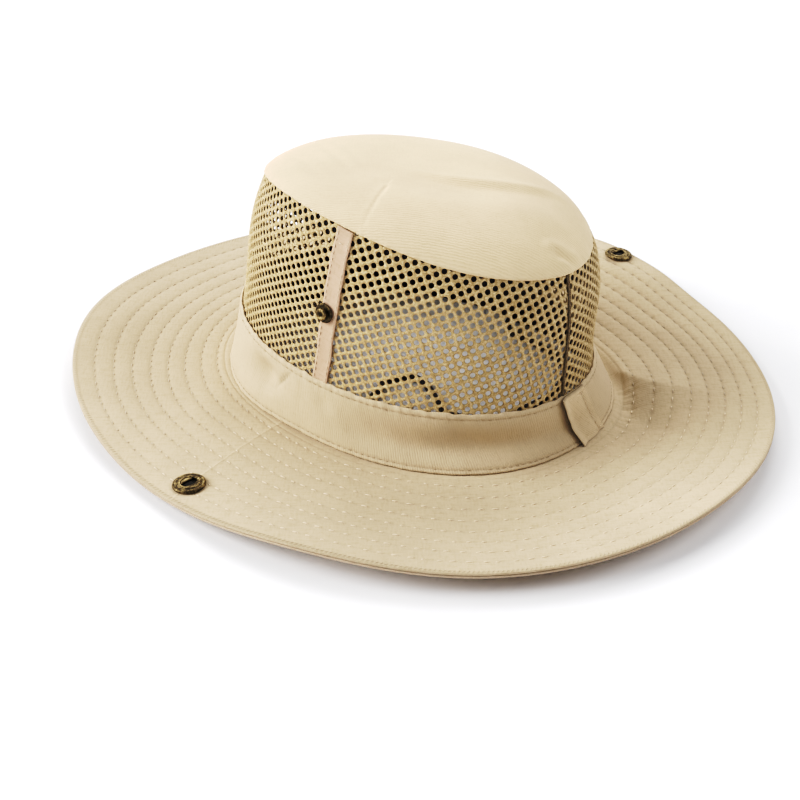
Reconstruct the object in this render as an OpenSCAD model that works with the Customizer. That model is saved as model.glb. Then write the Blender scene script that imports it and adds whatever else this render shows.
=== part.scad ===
/* [Crown] */
// Front to back length round the bottom of the hat band
base_len = 219.8; // [214:0.1:226]
// Side to side width round the bottom of the hat band
base_wid = 176.6; // [170:0.1:182]
// Front to back length round the top of the hat band
band_top_len = 204; // [200:0.5:208]
// Side to side width round the top of the hat band
band_top_wid = 165; // [161:0.5:168]
// Height of the hat band
band_h = 28.7; // [26:0.1:31]
// Front to back length of the oval tip at its seam
tip_len = 185.4; // [181:0.1:190]
// Side to side width of the oval tip at its seam
tip_wid = 150.6; // [147:0.1:154]
// Mean height of the seam between mesh and tip
seam_z = 103.3; // [99:0.1:107]
// Height of the middle of the tip
tip_z = 123.7; // [121:0.1:127]
// Thickness of the cotton cloth of the crown
cotton_t = 1; // [0.8:0.1:1.2]
// Thickness of the mesh wall
mesh_t = 0.9; // [0.7:0.1:1]
// Height of the inner sweatband as a share of the hat band's
sweatband_share = 0.94; // [0.85:0.01:0.97]

/* [Brim] */
// Front to back length of the oval round which the rim is drawn
brim_core_len = 226.8; // [222:0.1:230]
// Width of the brim from that oval to the rim
brim_w = 82; // [78:0.5:86]
// Height of the top of the brim where it meets the band
brim_z = 6; // [5:0.5:7]
// Thickness of the upper cloth
upper_t = 0.8; // [0.6:0.1:0.9]
// Thickness of the stiff interlining
core_t = 0.9; // [0.7:0.1:1]
// Thickness of the lower cloth
under_t = 0.8; // [0.6:0.1:0.9]

/* [Folding sides] */
// Distance of each fold line from the middle of the hat
fold_x = 91.5; // [91:0.1:92.5]
// Turn of the left fold line in plan, in degrees
left_turn = -9; // [-10:0.5:-8]
// Gap between the fixed and the folding brim
fold_gap = 1; // [0.8:0.1:1.4]

/* [Snaps] */
// Outer diameter of the sockets on the brim
socket_d = 16.2; // [15.4:0.1:16.6]
// Diameter of the heads of the studs
stud_d = 6; // [5.8:0.1:6.2]
// Width of the side strips that carry the studs
strip_w = 9.5; // [9:0.5:11]

/* [Chin cord] */
// Diameter of the chin cord
cord_d = 4; // [3.6:0.1:4]
// Diameter of the cord lock's barrel
lock_d = 12.4; // [12:0.1:12.6]
// Travel of the cord lock's button
press = 3.4; // [3:0.1:3.6]

/* [Hidden] */

KHAKI = [0.83, 0.77, 0.62];
TAN = [0.72, 0.63, 0.44];
DARK = [0.12, 0.11, 0.1];
BRASS = [0.42, 0.35, 0.2];

// Roundness of the ovals: 2 is an ellipse, more is squarer
base_power = 2.175;
band_power = 2.05;
tip_power = 1.88;

// Where the rings of the soft crown have drifted from the middle of the brim
base_shift = [0, 3.5];
band_shift = [1.2, 1.8];
tip_shift = [-3, 5.2];
// Rise of the band's top per millimetre to the left and to the back
band_slope = [0.042, -0.041];
// The tip's seam is high on the left and dips to the back right
seam_side_rise = 12.5;
seam_back_drop = 4;
seam_side_wave = 5;
seam_corner_wave = 1.8;
tip_slope = [0.076, -0.03];
// How flat the tip is before it turns down to its seam
tip_flatness = 3.7;
// How far the mesh wall swells outwards, near the top of the wall
mesh_bulge = 2.2;

// Height of the rim every 30 degrees, from the left side round by the back
rim_heights = [5.5, 11, 10.5, 12.5, 11.5, 11.5, 23.5, 17, 8, 7.5, 11, 7];

brim_t = upper_t + core_t + under_t;
band_t = 1.2;
band_top_z = brim_z + band_h;
layer_gap = 0.05;
// Depths of the layers of the crown wall below its outer face
mesh_out = -band_t - 0.15;
sweat_out = mesh_out - mesh_t - 0.2;
sweat_t = 1;

// Side seams of the brim, as angles round the band
left_seam = -3;
right_seam = 183;
back_middle = 90;
// Directions in which the two flaps point
right_turn = 180;

// Snap places: share of the brim's width, angle round the band
left_snap_at = [0.837, 2.7];
right_snap_at = [0.9, 173.2];
// Stud places on the mesh wall: share of its height, angle round the crown
left_stud_at = [0.455, 10.5];
right_stud_at = [0.8, 172.9];
// Angles of the side strips at the band and at the tip
left_strip = [10, 14.5];
right_strip = [173.7, 172.7];
post_d = 4.8;
stud_post_d = 3.8;

function lerp(a, b, t) = a + (b - a) * t;
function unit(v) = v / norm(v);
function span(a, b, n) = [for (i = [0:n]) lerp(a, b, i / n)];
function chain(a, b) = concat(a, [for (i = [1:len(b) - 1]) b[i]]);
function flat(rows) = [for (row = rows) for (p = row) p];
function ahead(v) = v < 0 ? -1 : 1;

// A closed oval: half length along Y, half width along X
function oval_r(a, b, n, th) =
    pow(pow(abs(cos(th)) / b, n) + pow(abs(sin(th)) / a, n), -1 / n);
function oval(a, b, n, th) = oval_r(a, b, n, th) * [cos(th), sin(th)];

// A smooth closed curve through values at even angles
function around(values, th) =
    let (n = len(values), x = (th / 360 + 2) * n, i = floor(x), t = x - i,
         p0 = values[(i - 1) % n], p1 = values[i % n],
         p2 = values[(i + 1) % n], p3 = values[(i + 2) % n])
    p1 + t * ((p2 - p0) + t * ((2 * p0 - 5 * p1 + 4 * p2 - p3)
       + t * (3 * (p1 - p2) + p3 - p0))) / 2;

function rim_z(th) = around(rim_heights, th);

// The three rings of the crown, moved out by off
function base_ring(th, off) =
    let (p = oval(base_len / 2 + off, base_wid / 2 + off, base_power, th) + base_shift)
    [p.x, p.y, brim_z];
function band_ring(th, off) =
    let (p = oval(band_top_len / 2 + off, band_top_wid / 2 + off, band_power, th) + band_shift)
    [p.x, p.y, band_top_z + band_slope * p];
function tip_ring(th, off) =
    let (p = oval(tip_len / 2 + off, tip_wid / 2 + off, tip_power, th) + tip_shift)
    [p.x, p.y, seam_z + seam_side_rise * cos(th) - seam_back_drop * sin(th)
             + seam_side_wave * cos(2 * th) - seam_corner_wave * sin(2 * th)];

function band_at(th, v, off) = lerp(base_ring(th, off), band_ring(th, off), v);
function bulge(v) = mesh_bulge * sin(180 * pow(v, 1.6));
function mesh_at(th, v, off) =
    lerp(band_ring(th, off + bulge(v)), tip_ring(th, off + bulge(v)), v);
function tip_at(th, r, off) =
    let (e = tip_ring(th, off), c = [tip_shift.x, tip_shift.y],
         p = c + ([e.x, e.y] - c) * r,
         top = tip_z + tip_slope * p + off)
    [p.x, p.y, lerp(e.z, top, 1 - pow(r, tip_flatness))];

// The rim, at an even distance from an oval round the band
function core(th) = oval(brim_core_len / 2, base_wid / 2, base_power, th);
function core_normal(th) =
    let (p = core(th), a = brim_core_len / 2, b = base_wid / 2)
    unit([ahead(p.x) * pow(abs(p.x) / b, base_power - 1) / b,
          ahead(p.y) * pow(abs(p.y) / a, base_power - 1) / a]);
function rim_ring(th) =
    let (p = core(th) + brim_w * core_normal(th))
    [p.x, p.y, rim_z(th)];
function brim_at(th, t, dz) = lerp(base_ring(th, 0), rim_ring(th), t) + [0, 0, dz];

// Share of the brim's width at which a fold line crosses it; 9 where it doesn't
function fold_t(th, turn, d) =
    let (f = [cos(turn), sin(turn), 0], from = f * base_ring(th, 0), k = f * rim_ring(th) - from)
    k < 4 ? 9 : (d - from) / k;
// Angle at which the fold line reaches the rim, between an inner and an outer angle
function fold_end(in, out, turn, k) =
    let (m = (in + out) / 2)
    k == 0 ? m
    : fold_t(m, turn, fold_x) < 1 ? fold_end(m, out, turn, k - 1)
    : fold_end(in, m, turn, k - 1);

left_front_end = fold_end(left_turn, left_turn - 85, left_turn, 24);
left_back_end = fold_end(left_turn, left_turn + 85, left_turn, 24);
right_back_end = fold_end(right_turn, right_turn - 85, right_turn, 24);
right_front_end = fold_end(right_turn, right_turn + 85, right_turn, 24);
tip_trim = 1.6;

front_columns = chain(span(right_seam, right_front_end, 7),
    chain(span(right_front_end, left_front_end + 360, 11),
          span(left_front_end + 360, left_seam + 360, 7)));
back_columns = chain(span(left_seam, left_back_end, 7),
    chain(span(left_back_end, right_back_end, 11), span(right_back_end, right_seam, 7)));
all_columns = concat([for (i = [0:len(back_columns) - 2]) back_columns[i]],
    [for (i = [0:len(front_columns) - 2]) front_columns[i]]);
left_front_columns = span(left_front_end + tip_trim, left_seam, 8);
left_back_columns = span(left_seam, left_back_end - tip_trim, 8);
right_back_columns = span(right_back_end + tip_trim, right_seam, 8);
right_front_columns = span(right_seam, right_front_end - tip_trim, 8);

// Depths of the top and bottom of each brim layer below the brim's top
upper_layer = [0, -upper_t];
core_layer = [-upper_t - layer_gap, -upper_t - core_t];
under_layer = [-upper_t - core_t - layer_gap, -brim_t];

// A closed sheet between two grids of points; rows run up, columns to the right
module sheet(outer, inner, wrap = false) {
    rows = len(outer);
    cols = len(outer[0]);
    reach = wrap ? cols : cols - 1;
    other = rows * cols;
    function at(r, c) = r * cols + c % cols;
    faces = concat(
        [for (r = [0:rows - 2], c = [0:reach - 1]) each
            [[at(r, c), at(r + 1, c), at(r + 1, c + 1)],
             [at(r, c), at(r + 1, c + 1), at(r, c + 1)],
             [other + at(r, c), other + at(r + 1, c + 1), other + at(r + 1, c)],
             [other + at(r, c), other + at(r, c + 1), other + at(r + 1, c + 1)]]],
        [for (c = [0:reach - 1]) each
            [[at(0, c), at(0, c + 1), other + at(0, c + 1)],
             [at(0, c), other + at(0, c + 1), other + at(0, c)],
             [at(rows - 1, c + 1), at(rows - 1, c), other + at(rows - 1, c)],
             [at(rows - 1, c + 1), other + at(rows - 1, c), other + at(rows - 1, c + 1)]]],
        wrap ? [] : [for (r = [0:rows - 2]) each
            [[at(r + 1, 0), at(r, 0), other + at(r, 0)],
             [at(r + 1, 0), other + at(r, 0), other + at(r + 1, 0)],
             [at(r, cols - 1), at(r + 1, cols - 1), other + at(r + 1, cols - 1)],
             [at(r, cols - 1), other + at(r + 1, cols - 1), other + at(r, cols - 1)]]]);
    polyhedron(concat(flat(outer), flat(inner)), faces);
}

// Fixed part of one brim layer, from the fold lines or the rim in to the band
brim_rows = 4;
brim_inset = 1.4 / brim_w;
function fixed_edge(th) =
    min(1, fold_t(th, left_turn, fold_x - fold_gap / 2),
           fold_t(th, right_turn, fold_x - fold_gap / 2),
           fold_t(th - 360, left_turn, fold_x - fold_gap / 2));
function fixed_rows(columns, dz) = [for (j = [0:brim_rows]) [for (th = columns)
    brim_at(th, lerp(fixed_edge(th), -brim_inset, j / brim_rows), dz)]];
module fixed_brim(columns, layer, wrap = false) {
    sheet(fixed_rows(columns, layer[0]), fixed_rows(columns, layer[1]), wrap);
}

// Folding part of one brim layer, from the rim in to the fold line
function flap_rows(columns, turn, dz) = [for (j = [0:brim_rows]) [for (th = columns)
    brim_at(th, lerp(1, fold_t(th, turn, fold_x + fold_gap / 2), j / brim_rows), dz)]];
module flap(columns, turn, layer) {
    sheet(flap_rows(columns, turn, layer[0]), flap_rows(columns, turn, layer[1]));
}

// Stands its children on a surface point, with +Z along the normal
module stand(p, n) {
    translate(p) rotate([0, acos(n.z), atan2(n.y, n.x)]) children();
}
step = 0.2;
function brim_point(s) = brim_at(s[1], s[0], 0);
function brim_up(s) =
    unit(cross(brim_at(s[1], s[0] + step / brim_w, 0) - brim_at(s[1], s[0], 0),
               brim_at(s[1] + step, s[0], 0) - brim_at(s[1], s[0], 0)));
function wall_point(s) = mesh_at(s[1], s[0], mesh_out);
function wall_out(s) =
    unit(cross(mesh_at(s[1] + step, s[0], 0) - mesh_at(s[1], s[0], 0),
               mesh_at(s[1], s[0] + step / 100, 0) - mesh_at(s[1], s[0], 0)));

// Holes through the cloth for the posts of the snaps, as twelve-sided punches
punch = 12;
module brim_hole(s) {
    stand(brim_point(s), brim_up(s))
        cylinder(h = 20, d = post_d + 0.4, center = true, $fn = punch);
}
module wall_hole(s) {
    stand(wall_point(s), wall_out(s))
        cylinder(h = 14, d = stud_post_d + 0.4, center = true, $fn = punch);
}

// Crown
around_n = 60;
around_columns = [for (i = [0:around_n - 1]) 360 * i / around_n];
tip_rings = 6;
module crown_tip() {
    out = [for (j = [0:tip_rings]) [for (th = around_columns)
        tip_at(th, 1 - j / (tip_rings + 0.6), 0)]];
    in = [for (j = [0:tip_rings]) [for (th = around_columns)
        tip_at(th, 1 - j / (tip_rings + 0.6), -cotton_t)]];
    n = around_n;
    last = tip_rings * n;
    size = (tip_rings + 1) * n;
    function at(r, c) = r * n + c % n;
    points = concat(flat(out), flat(in), [tip_at(0, 0, 0), tip_at(0, 0, -cotton_t)]);
    faces = concat(
        [for (r = [0:tip_rings - 1], c = [0:n - 1]) each
            [[at(r, c), at(r + 1, c), at(r + 1, c + 1)],
             [at(r, c), at(r + 1, c + 1), at(r, c + 1)],
             [size + at(r, c), size + at(r + 1, c + 1), size + at(r + 1, c)],
             [size + at(r, c), size + at(r, c + 1), size + at(r + 1, c + 1)]]],
        [for (c = [0:n - 1]) each
            [[at(0, c), at(0, c + 1), size + at(0, c + 1)],
             [at(0, c), size + at(0, c + 1), size + at(0, c)],
             [last + c, 2 * size, last + (c + 1) % n],
             [size + last + (c + 1) % n, 2 * size + 1, size + last + c]]]);
    color(KHAKI) polyhedron(points, faces);
}

// A wall of cloth on the mesh panel between two shares of its height
function wall_rows(columns, low, high, rows, off) =
    [for (j = [0:rows]) [for (th = columns) mesh_at(th, lerp(low, high, j / rows), off)]];
seam_clear = 0.995;
module mesh_wall() {
    function hang(off) = [for (v = [0.02, 0.34, 0.67])
        [for (th = around_columns) band_at(th, v, off)]];
    function wall(off) =
        concat(hang(off), wall_rows(around_columns, 0, seam_clear, 7, off));
    color(TAN) difference() {
        sheet(wall(mesh_out), wall(mesh_out - mesh_t), true);
        wall_hole(left_stud_at);
        wall_hole(right_stud_at);
    }
}

tape_low = 0.9;
module tip_seam_tape() {
    out = mesh_out - mesh_t - 0.15;
    color(DARK) sheet(wall_rows(around_columns, tape_low, 0.97, 1, out),
        wall_rows(around_columns, tape_low, 0.97, 1, out - 0.6), true);
}

// A vertical strip of tape on the outside of the mesh wall
strip_off = mesh_out + 0.15;
strip_low = 0.03;
strip_high = 0.98;
module wall_strip(ends, width, thick, rows) {
    half = width / 2 / (band_top_wid / 2) * 180 / PI;
    function row(j, off) =
        let (v = lerp(strip_low, strip_high, j / rows), mid = lerp(ends[0], ends[1], j / rows))
        [for (th = span(mid - half, mid + half, 2)) mesh_at(th, v, off)];
    sheet([for (j = [0:rows]) row(j, strip_off + thick)], [for (j = [0:rows]) row(j, strip_off)]);
}
module left_side_strip() {
    color(KHAKI) difference() {
        wall_strip(left_strip, strip_w, cotton_t, 10);
        wall_hole(left_stud_at);
    }
}
module right_side_strip() {
    color(KHAKI) difference() {
        wall_strip(right_strip, strip_w, cotton_t, 10);
        wall_hole(right_stud_at);
    }
}
module mesh_back_seam() {
    color(TAN) wall_strip([back_middle, back_middle], 3, 0.7, 8);
}

// Hat band, with its turned-under end lapped over its start at the back
lap = [88, 99];
lap_lean = 3;
module hat_band() {
    rows = 3;
    function row(j, off) =
        [for (th = around_columns) band_at(th, lerp(0.01, 1, j / rows), off)];
    color(KHAKI) sheet([for (j = [0:rows]) row(j, 0)],
        [for (j = [0:rows]) row(j, -band_t)], true);
}
module band_lap() {
    rows = 3;
    function row(j, off) =
        let (v = lerp(0.03, 1, j / rows), lean = lap_lean * (1 - v))
        [for (th = span(lap[0] + lean, lap[1] + lean, 4)) band_at(th, v, off)];
    color(KHAKI) sheet([for (j = [0:rows]) row(j, 1.1)], [for (j = [0:rows]) row(j, 0.15)]);
}
module sweatband() {
    function foot(off) = [for (th = around_columns) base_ring(th, off) - [0, 0, brim_z]];
    function wall(off) = concat([foot(off)], [for (v = [0, 0.34, 0.67, sweatband_share])
        [for (th = around_columns) band_at(th, v, off)]]);
    color(DARK) sheet(wall(sweat_out), wall(sweat_out - sweat_t), true);
}

// Brim
module brim_upper_front() { color(KHAKI) fixed_brim(front_columns, upper_layer); }
module brim_upper_back() { color(KHAKI) fixed_brim(back_columns, upper_layer); }
module brim_under_front() { color(KHAKI) fixed_brim(front_columns, under_layer); }
module brim_under_back() { color(KHAKI) fixed_brim(back_columns, under_layer); }
module brim_interlining() { color("white") fixed_brim(all_columns, core_layer, true); }

module left_piece(columns, layer) {
    difference() {
        flap(columns, left_turn, layer);
        brim_hole(left_snap_at);
    }
}
module right_piece(columns, layer) {
    difference() {
        flap(columns, right_turn, layer);
        brim_hole(right_snap_at);
    }
}
module left_flap_upper_front() { color(KHAKI) flap(left_front_columns, left_turn, upper_layer); }
module left_flap_upper_back() { color(KHAKI) left_piece(left_back_columns, upper_layer); }
module left_flap_under_front() { color(KHAKI) flap(left_front_columns, left_turn, under_layer); }
module left_flap_under_back() { color(KHAKI) left_piece(left_back_columns, under_layer); }
module left_flap_interlining() {
    color("white") left_piece(chain(left_front_columns, left_back_columns), core_layer);
}
module right_flap_upper_front() { color(KHAKI) flap(right_front_columns, right_turn, upper_layer); }
module right_flap_upper_back() { color(KHAKI) right_piece(right_back_columns, upper_layer); }
module right_flap_under_front() { color(KHAKI) flap(right_front_columns, right_turn, under_layer); }
module right_flap_under_back() { color(KHAKI) right_piece(right_back_columns, under_layer); }
module right_flap_interlining() {
    color("white") right_piece(chain(right_back_columns, right_front_columns), core_layer);
}

// Snaps: socket, its two spring wires and its cap on the brim
mouth_r = 3.9;
socket_floor = 0.75;
socket_h = 2.4;
seat = 0.2;
module socket(s) {
    r = socket_d / 2;
    stand(brim_point(s), brim_up(s)) rotate_extrude($fn = 64)
        polygon([[post_d / 2 + 0.1, seat], [r - 0.5, seat], [r, 0.6], [r, 1.1], [r - 0.9, 2],
                 [r - 2.3, socket_h], [mouth_r + 0.5, socket_h], [mouth_r, socket_h - 0.4],
                 [mouth_r, socket_floor], [post_d / 2 + 0.1, socket_floor]]);
}
wire_d = 0.6;
wire_x = 2.5;
wire_len = 5;
module spring_wires(s) {
    stand(brim_point(s), brim_up(s)) for (side = [-1, 1])
        translate([side * wire_x, 0, 1.5]) rotate([90, 0, 0])
            cylinder(h = wire_len, d = wire_d, center = true, $fn = 24);
}
cap_r = 6.5;
module cap(s) {
    stand(brim_point(s), brim_up(s)) rotate_extrude($fn = 64)
        polygon([[0, socket_floor], [post_d / 2, socket_floor], [post_d / 2, -brim_t - 0.6],
                 [cap_r, -brim_t - 0.6], [cap_r, -brim_t - 0.9], [cap_r - 1.2, -brim_t - 1.5],
                 [0, -brim_t - 1.7]]);
}
module left_snap_socket() { color(BRASS) socket(left_snap_at); }
module left_snap_spring() { color(BRASS) spring_wires(left_snap_at); }
module left_snap_cap() { color(BRASS) cap(left_snap_at); }
module right_snap_socket() { color(BRASS) socket(right_snap_at); }
module right_snap_spring() { color(BRASS) spring_wires(right_snap_at); }
module right_snap_cap() { color(BRASS) cap(right_snap_at); }

// Snaps: stud on the side strip and the eyelet that holds it from inside
stud_off = 0.15 + cotton_t + 0.45;
stud_depth = stud_off + mesh_t + 0.9;
module stud(s) {
    r = stud_d / 2;
    stand(wall_point(s) + stud_off * wall_out(s), wall_out(s)) rotate_extrude($fn = 48)
        polygon([[0, -stud_depth], [stud_post_d / 2, -stud_depth], [stud_post_d / 2, 0],
                 [5, 0], [5, 0.4], [4.5, 0.8], [r - 0.3, 0.8], [r - 0.3, 1.3], [r, 1.6],
                 [r, 3.2], [r - 0.5, 3.6], [0, 3.6]]);
}
module eyelet(s) {
    stand(wall_point(s) + (stud_off - stud_depth) * wall_out(s), wall_out(s))
        difference() {
            cylinder(h = 0.6, r = 4.4, $fn = 48);
            translate([0, 0, -1]) cylinder(h = 3, d = stud_post_d + 0.2, $fn = 48);
        }
}
module left_snap_stud() { color(BRASS) stud(left_stud_at); }
module left_stud_eyelet() { color(BRASS) eyelet(left_stud_at); }
module right_snap_stud() { color(BRASS) stud(right_stud_at); }
module right_stud_eyelet() { color(BRASS) eyelet(right_stud_at); }

// Chin cord: laid on the floor inside the crown, twice through the cord lock
cord_route = [
    [79, -8, 6], [68.5, -8.5, 4], [68.5, -47, 2], [49.5, -47, 2], [53, 11.5, 2], [15.6, -4, 2],
    [2.5, 9.1, 2], [19.5, 41, 2], [12, 71, 2.6], [22, 80.8, 4.6], [32, 70.8, 6.4],
    [59.5, 43.3, 6.4], [63, 37.5, 5], [61, 7, 2], [80, 7, 2], [80, 21, 2], [66, 43.2, 5],
    [59.5, 49.7, 6.4], [32, 77.2, 6.4], [17, 92.2, 3], [0, 92.2, 2], [-3.5, 67.3, 2],
    [-31, 70.5, 2], [-60, 61, 2], [-69, 34, 2], [-69, 3, 2.6], [-79, 3, 6]];
cord_last = len(cord_route) - 1;
cord_sides = 8;
// Every corner of the route is rounded to this radius
bend_r = 9;
ring_gap = 4;
function bend(i) =
    let (p = cord_route[i], u = unit(cord_route[i - 1] - p), v = unit(cord_route[i + 1] - p),
         turn = 180 - acos(u * v), d = bend_r * tan(turn / 2),
         c = p + unit(u + v) * norm([bend_r, d]), s = p + u * d - c, e = p + v * d - c,
         n = max(1, round(bend_r * turn * PI / 180 / ring_gap)))
    [for (k = [0:n]) c + (sin(turn * (1 - k / n)) * s + sin(turn * k / n) * e) / sin(turn)];
cord_path = concat([cord_route[0]], [for (i = [1:cord_last - 1]) each bend(i)],
    [cord_route[cord_last]]);
module chin_cord() {
    n = len(cord_path);
    function heading(i) = unit(cord_path[min(i + 1, n - 1)] - cord_path[max(i - 1, 0)]);
    function ring(i) =
        let (t = i == 0 || i == n - 1 ? [-1, 0, 0] : heading(i),
             side = unit(cross(t, [0, 0, 1])), up = cross(side, t))
        [for (k = [0:cord_sides - 1]) let (a = 360 * (k + 0.5) / cord_sides)
            cord_path[i] + cord_d / 2 * (cos(a) * side + sin(a) * up)];
    points = flat([for (i = [0:n - 1]) ring(i)]);
    function at(i, k) = i * cord_sides + k % cord_sides;
    faces = concat(
        [for (i = [0:n - 2], k = [0:cord_sides - 1]) each
            [[at(i, k), at(i + 1, k), at(i + 1, k + 1)],
             [at(i, k), at(i + 1, k + 1), at(i, k + 1)]]],
        [[for (k = [0:cord_sides - 1]) at(0, k)],
         [for (k = [0:cord_sides - 1]) at(n - 1, cord_sides - 1 - k)]]);
    color(DARK) polyhedron(points, faces);
}

// Folded tabs of tape that hold the cord's ends on the sweatband
tab = [4, 12, 6];
module cord_tab(end, side) {
    translate(end + [side * tab.x / 2, 0, 0]) {
        cube(tab, center = true);
        translate([-side * 0.2, 0, tab.z / 2])
            rotate([90, 0, 0])
                cylinder(h = tab.y, d = tab.x - 0.4, center = true, $fn = 24);
    }
}
module left_cord_tab() { color(DARK) cord_tab(cord_route[0], 1); }
module right_cord_tab() { color(DARK) cord_tab(cord_route[cord_last], -1); }

// Cord lock: barrel along its own Z, cords along its Y
lock_at = [46, 60, 6.4];
lock_turn = 45;
strand = 2.263;
lock_end = 9.5;
lock_floor = -13;
bore_r = 4.35;
slot_z = strand + cord_d / 2 + 0.35;
slot_x = cord_d + 0.7;
button_r = 4.25;
button_low = -6.6;
module lock_place() {
    translate(lock_at) rotate([0, 90, lock_turn]) children();
}
module cord_slot(low, high) {
    translate([-slot_x / 2, -10, low]) cube([slot_x, 20, high - low]);
}
module cord_lock_body() {
    r = lock_d / 2;
    color(DARK) lock_place() difference() {
        rotate_extrude($fn = 48)
            polygon([[0, lock_floor - 2], [r - 1.4, lock_floor - 2], [r, lock_floor - 0.6],
                     [r, lock_end - 0.6], [r - 0.6, lock_end], [bore_r, lock_end],
                     [bore_r, lock_floor], [0, lock_floor]]);
        cord_slot(-slot_z, slot_z);
    }
}
module cord_lock_button() {
    head = lock_end + press + 0.6;
    color(DARK) lock_place() difference() {
        union() {
            translate([0, 0, button_low]) cylinder(h = head - button_low, r = button_r, $fn = 48);
            translate([0, 0, head]) rotate_extrude($fn = 48)
                polygon([[0, 0], [button_r + 0.8, 0], [button_r + 0.8, 1.2],
                         [button_r - 0.4, 2.2], [0, 2.4]]);
        }
        cord_slot(-slot_z + 0.15, slot_z + press);
    }
}

// Return spring, drawn at its pressed length
spring_r = 2.6;
spring_wire = 0.5;
spring_turns = 3;
spring_h = button_low - press - lock_floor - spring_wire - 0.4;
module cord_lock_spring() {
    steps = 12 * spring_turns;
    sides = 6;
    function ring(i) =
        let (a = 360 * spring_turns * i / steps,
             c = [spring_r * cos(a), spring_r * sin(a),
                  lock_floor + spring_wire / 2 + 0.1 + spring_h * i / steps],
             out = [cos(a), sin(a), 0])
        [for (k = [0:sides - 1]) c + spring_wire / 2
            * (cos(360 * k / sides) * out + sin(360 * k / sides) * [0, 0, 1])];
    points = flat([for (i = [0:steps]) ring(i)]);
    function at(i, k) = i * sides + k % sides;
    faces = concat(
        [for (i = [0:steps - 1], k = [0:sides - 1]) each
            [[at(i, k), at(i, k + 1), at(i + 1, k + 1)],
             [at(i, k), at(i + 1, k + 1), at(i + 1, k)]]],
        [[for (k = [0:sides - 1]) at(0, sides - 1 - k)],
         [for (k = [0:sides - 1]) at(steps, k)]]);
    color("silver") lock_place() polyhedron(points, faces);
}

crown_tip();
tip_seam_tape();
mesh_wall();
mesh_back_seam();
left_side_strip();
right_side_strip();
hat_band();
band_lap();
sweatband();
brim_upper_front();
brim_upper_back();
brim_under_front();
brim_under_back();
brim_interlining();
left_flap_upper_front();
left_flap_upper_back();
left_flap_under_front();
left_flap_under_back();
left_flap_interlining();
right_flap_upper_front();
right_flap_upper_back();
right_flap_under_front();
right_flap_under_back();
right_flap_interlining();
left_snap_socket();
left_snap_spring();
left_snap_cap();
right_snap_socket();
right_snap_spring();
right_snap_cap();
left_snap_stud();
left_stud_eyelet();
right_snap_stud();
right_stud_eyelet();
chin_cord();
left_cord_tab();
right_cord_tab();
cord_lock_body();
cord_lock_button();
cord_lock_spring();
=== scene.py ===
import math

import bpy
import numpy as np
from mathutils import Matrix, Vector


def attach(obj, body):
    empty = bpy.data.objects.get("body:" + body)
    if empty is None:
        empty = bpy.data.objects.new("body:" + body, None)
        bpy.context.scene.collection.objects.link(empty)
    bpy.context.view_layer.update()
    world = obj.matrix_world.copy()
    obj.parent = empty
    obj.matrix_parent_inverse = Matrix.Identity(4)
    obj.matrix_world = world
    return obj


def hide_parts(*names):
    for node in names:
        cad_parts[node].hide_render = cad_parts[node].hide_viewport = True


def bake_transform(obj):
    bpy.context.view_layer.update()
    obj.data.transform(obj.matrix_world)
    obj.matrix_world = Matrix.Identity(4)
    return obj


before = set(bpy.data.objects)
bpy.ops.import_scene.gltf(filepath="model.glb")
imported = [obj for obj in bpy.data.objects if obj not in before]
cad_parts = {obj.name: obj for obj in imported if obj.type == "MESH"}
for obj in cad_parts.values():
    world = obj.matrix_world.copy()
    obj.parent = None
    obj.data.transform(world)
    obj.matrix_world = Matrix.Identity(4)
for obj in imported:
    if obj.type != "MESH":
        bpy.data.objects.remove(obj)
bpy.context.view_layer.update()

MM = 0.001

# Sizes of the hat, in millimetres and degrees, as in the part's source
BASE_LEN, BASE_WID, BASE_POWER, BASE_SHIFT = 219.8, 176.6, 2.175, (0, 3.5)
BAND_LEN, BAND_WID, BAND_POWER, BAND_SHIFT = 204, 165, 2.05, (1.2, 1.8)
TIP_LEN, TIP_WID, TIP_POWER, TIP_SHIFT = 185.4, 150.6, 1.88, (-3, 5.2)
BRIM_Z, BAND_TOP_Z, SEAM_Z, TIP_Z = 6, 34.7, 103.3, 123.7
BAND_SLOPE, TIP_SLOPE = (0.042, -0.041), (0.076, -0.03)
SEAM_SIDE_RISE, SEAM_BACK_DROP, SEAM_SIDE_WAVE, SEAM_CORNER_WAVE = 12.5, 4, 5, 1.8
TIP_FLATNESS, MESH_BULGE = 3.7, 2.2
BRIM_CORE_LEN, BRIM_W = 226.8, 82
RIM_HEIGHTS = (5.5, 11, 10.5, 12.5, 11.5, 11.5, 23.5, 17, 8, 7.5, 11, 7)
MESH_OUT, MESH_T = -1.35, 0.9
STRIP_W, LEFT_STRIP, RIGHT_STRIP = 9.5, (10, 14.5), (173.7, 172.7)
LAP, LAP_LEAN = (88, 99), 3
LEFT_SNAP, RIGHT_SNAP = (0.837, 2.7), (0.9, 173.2)
LEFT_STUD, RIGHT_STUD = (0.455, 10.5), (0.8, 172.9)
SOCKET_R, STUD_OFF, STUD_DEPTH = 8.1, 1.6, 3.4
CORD_D, BEND_R = 4, 9
CORD_ROUTE = (
    (79, -8, 6), (68.5, -8.5, 4), (68.5, -47, 2), (49.5, -47, 2), (53, 11.5, 2), (15.6, -4, 2),
    (2.5, 9.1, 2), (19.5, 41, 2), (12, 71, 2.6), (22, 80.8, 4.6), (32, 70.8, 6.4),
    (59.5, 43.3, 6.4), (63, 37.5, 5), (61, 7, 2), (80, 7, 2), (80, 21, 2), (66, 43.2, 5),
    (59.5, 49.7, 6.4), (32, 77.2, 6.4), (17, 92.2, 3), (0, 92.2, 2), (-3.5, 67.3, 2),
    (-31, 70.5, 2), (-60, 61, 2), (-69, 34, 2), (-69, 3, 2.6), (-79, 3, 6))

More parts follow.
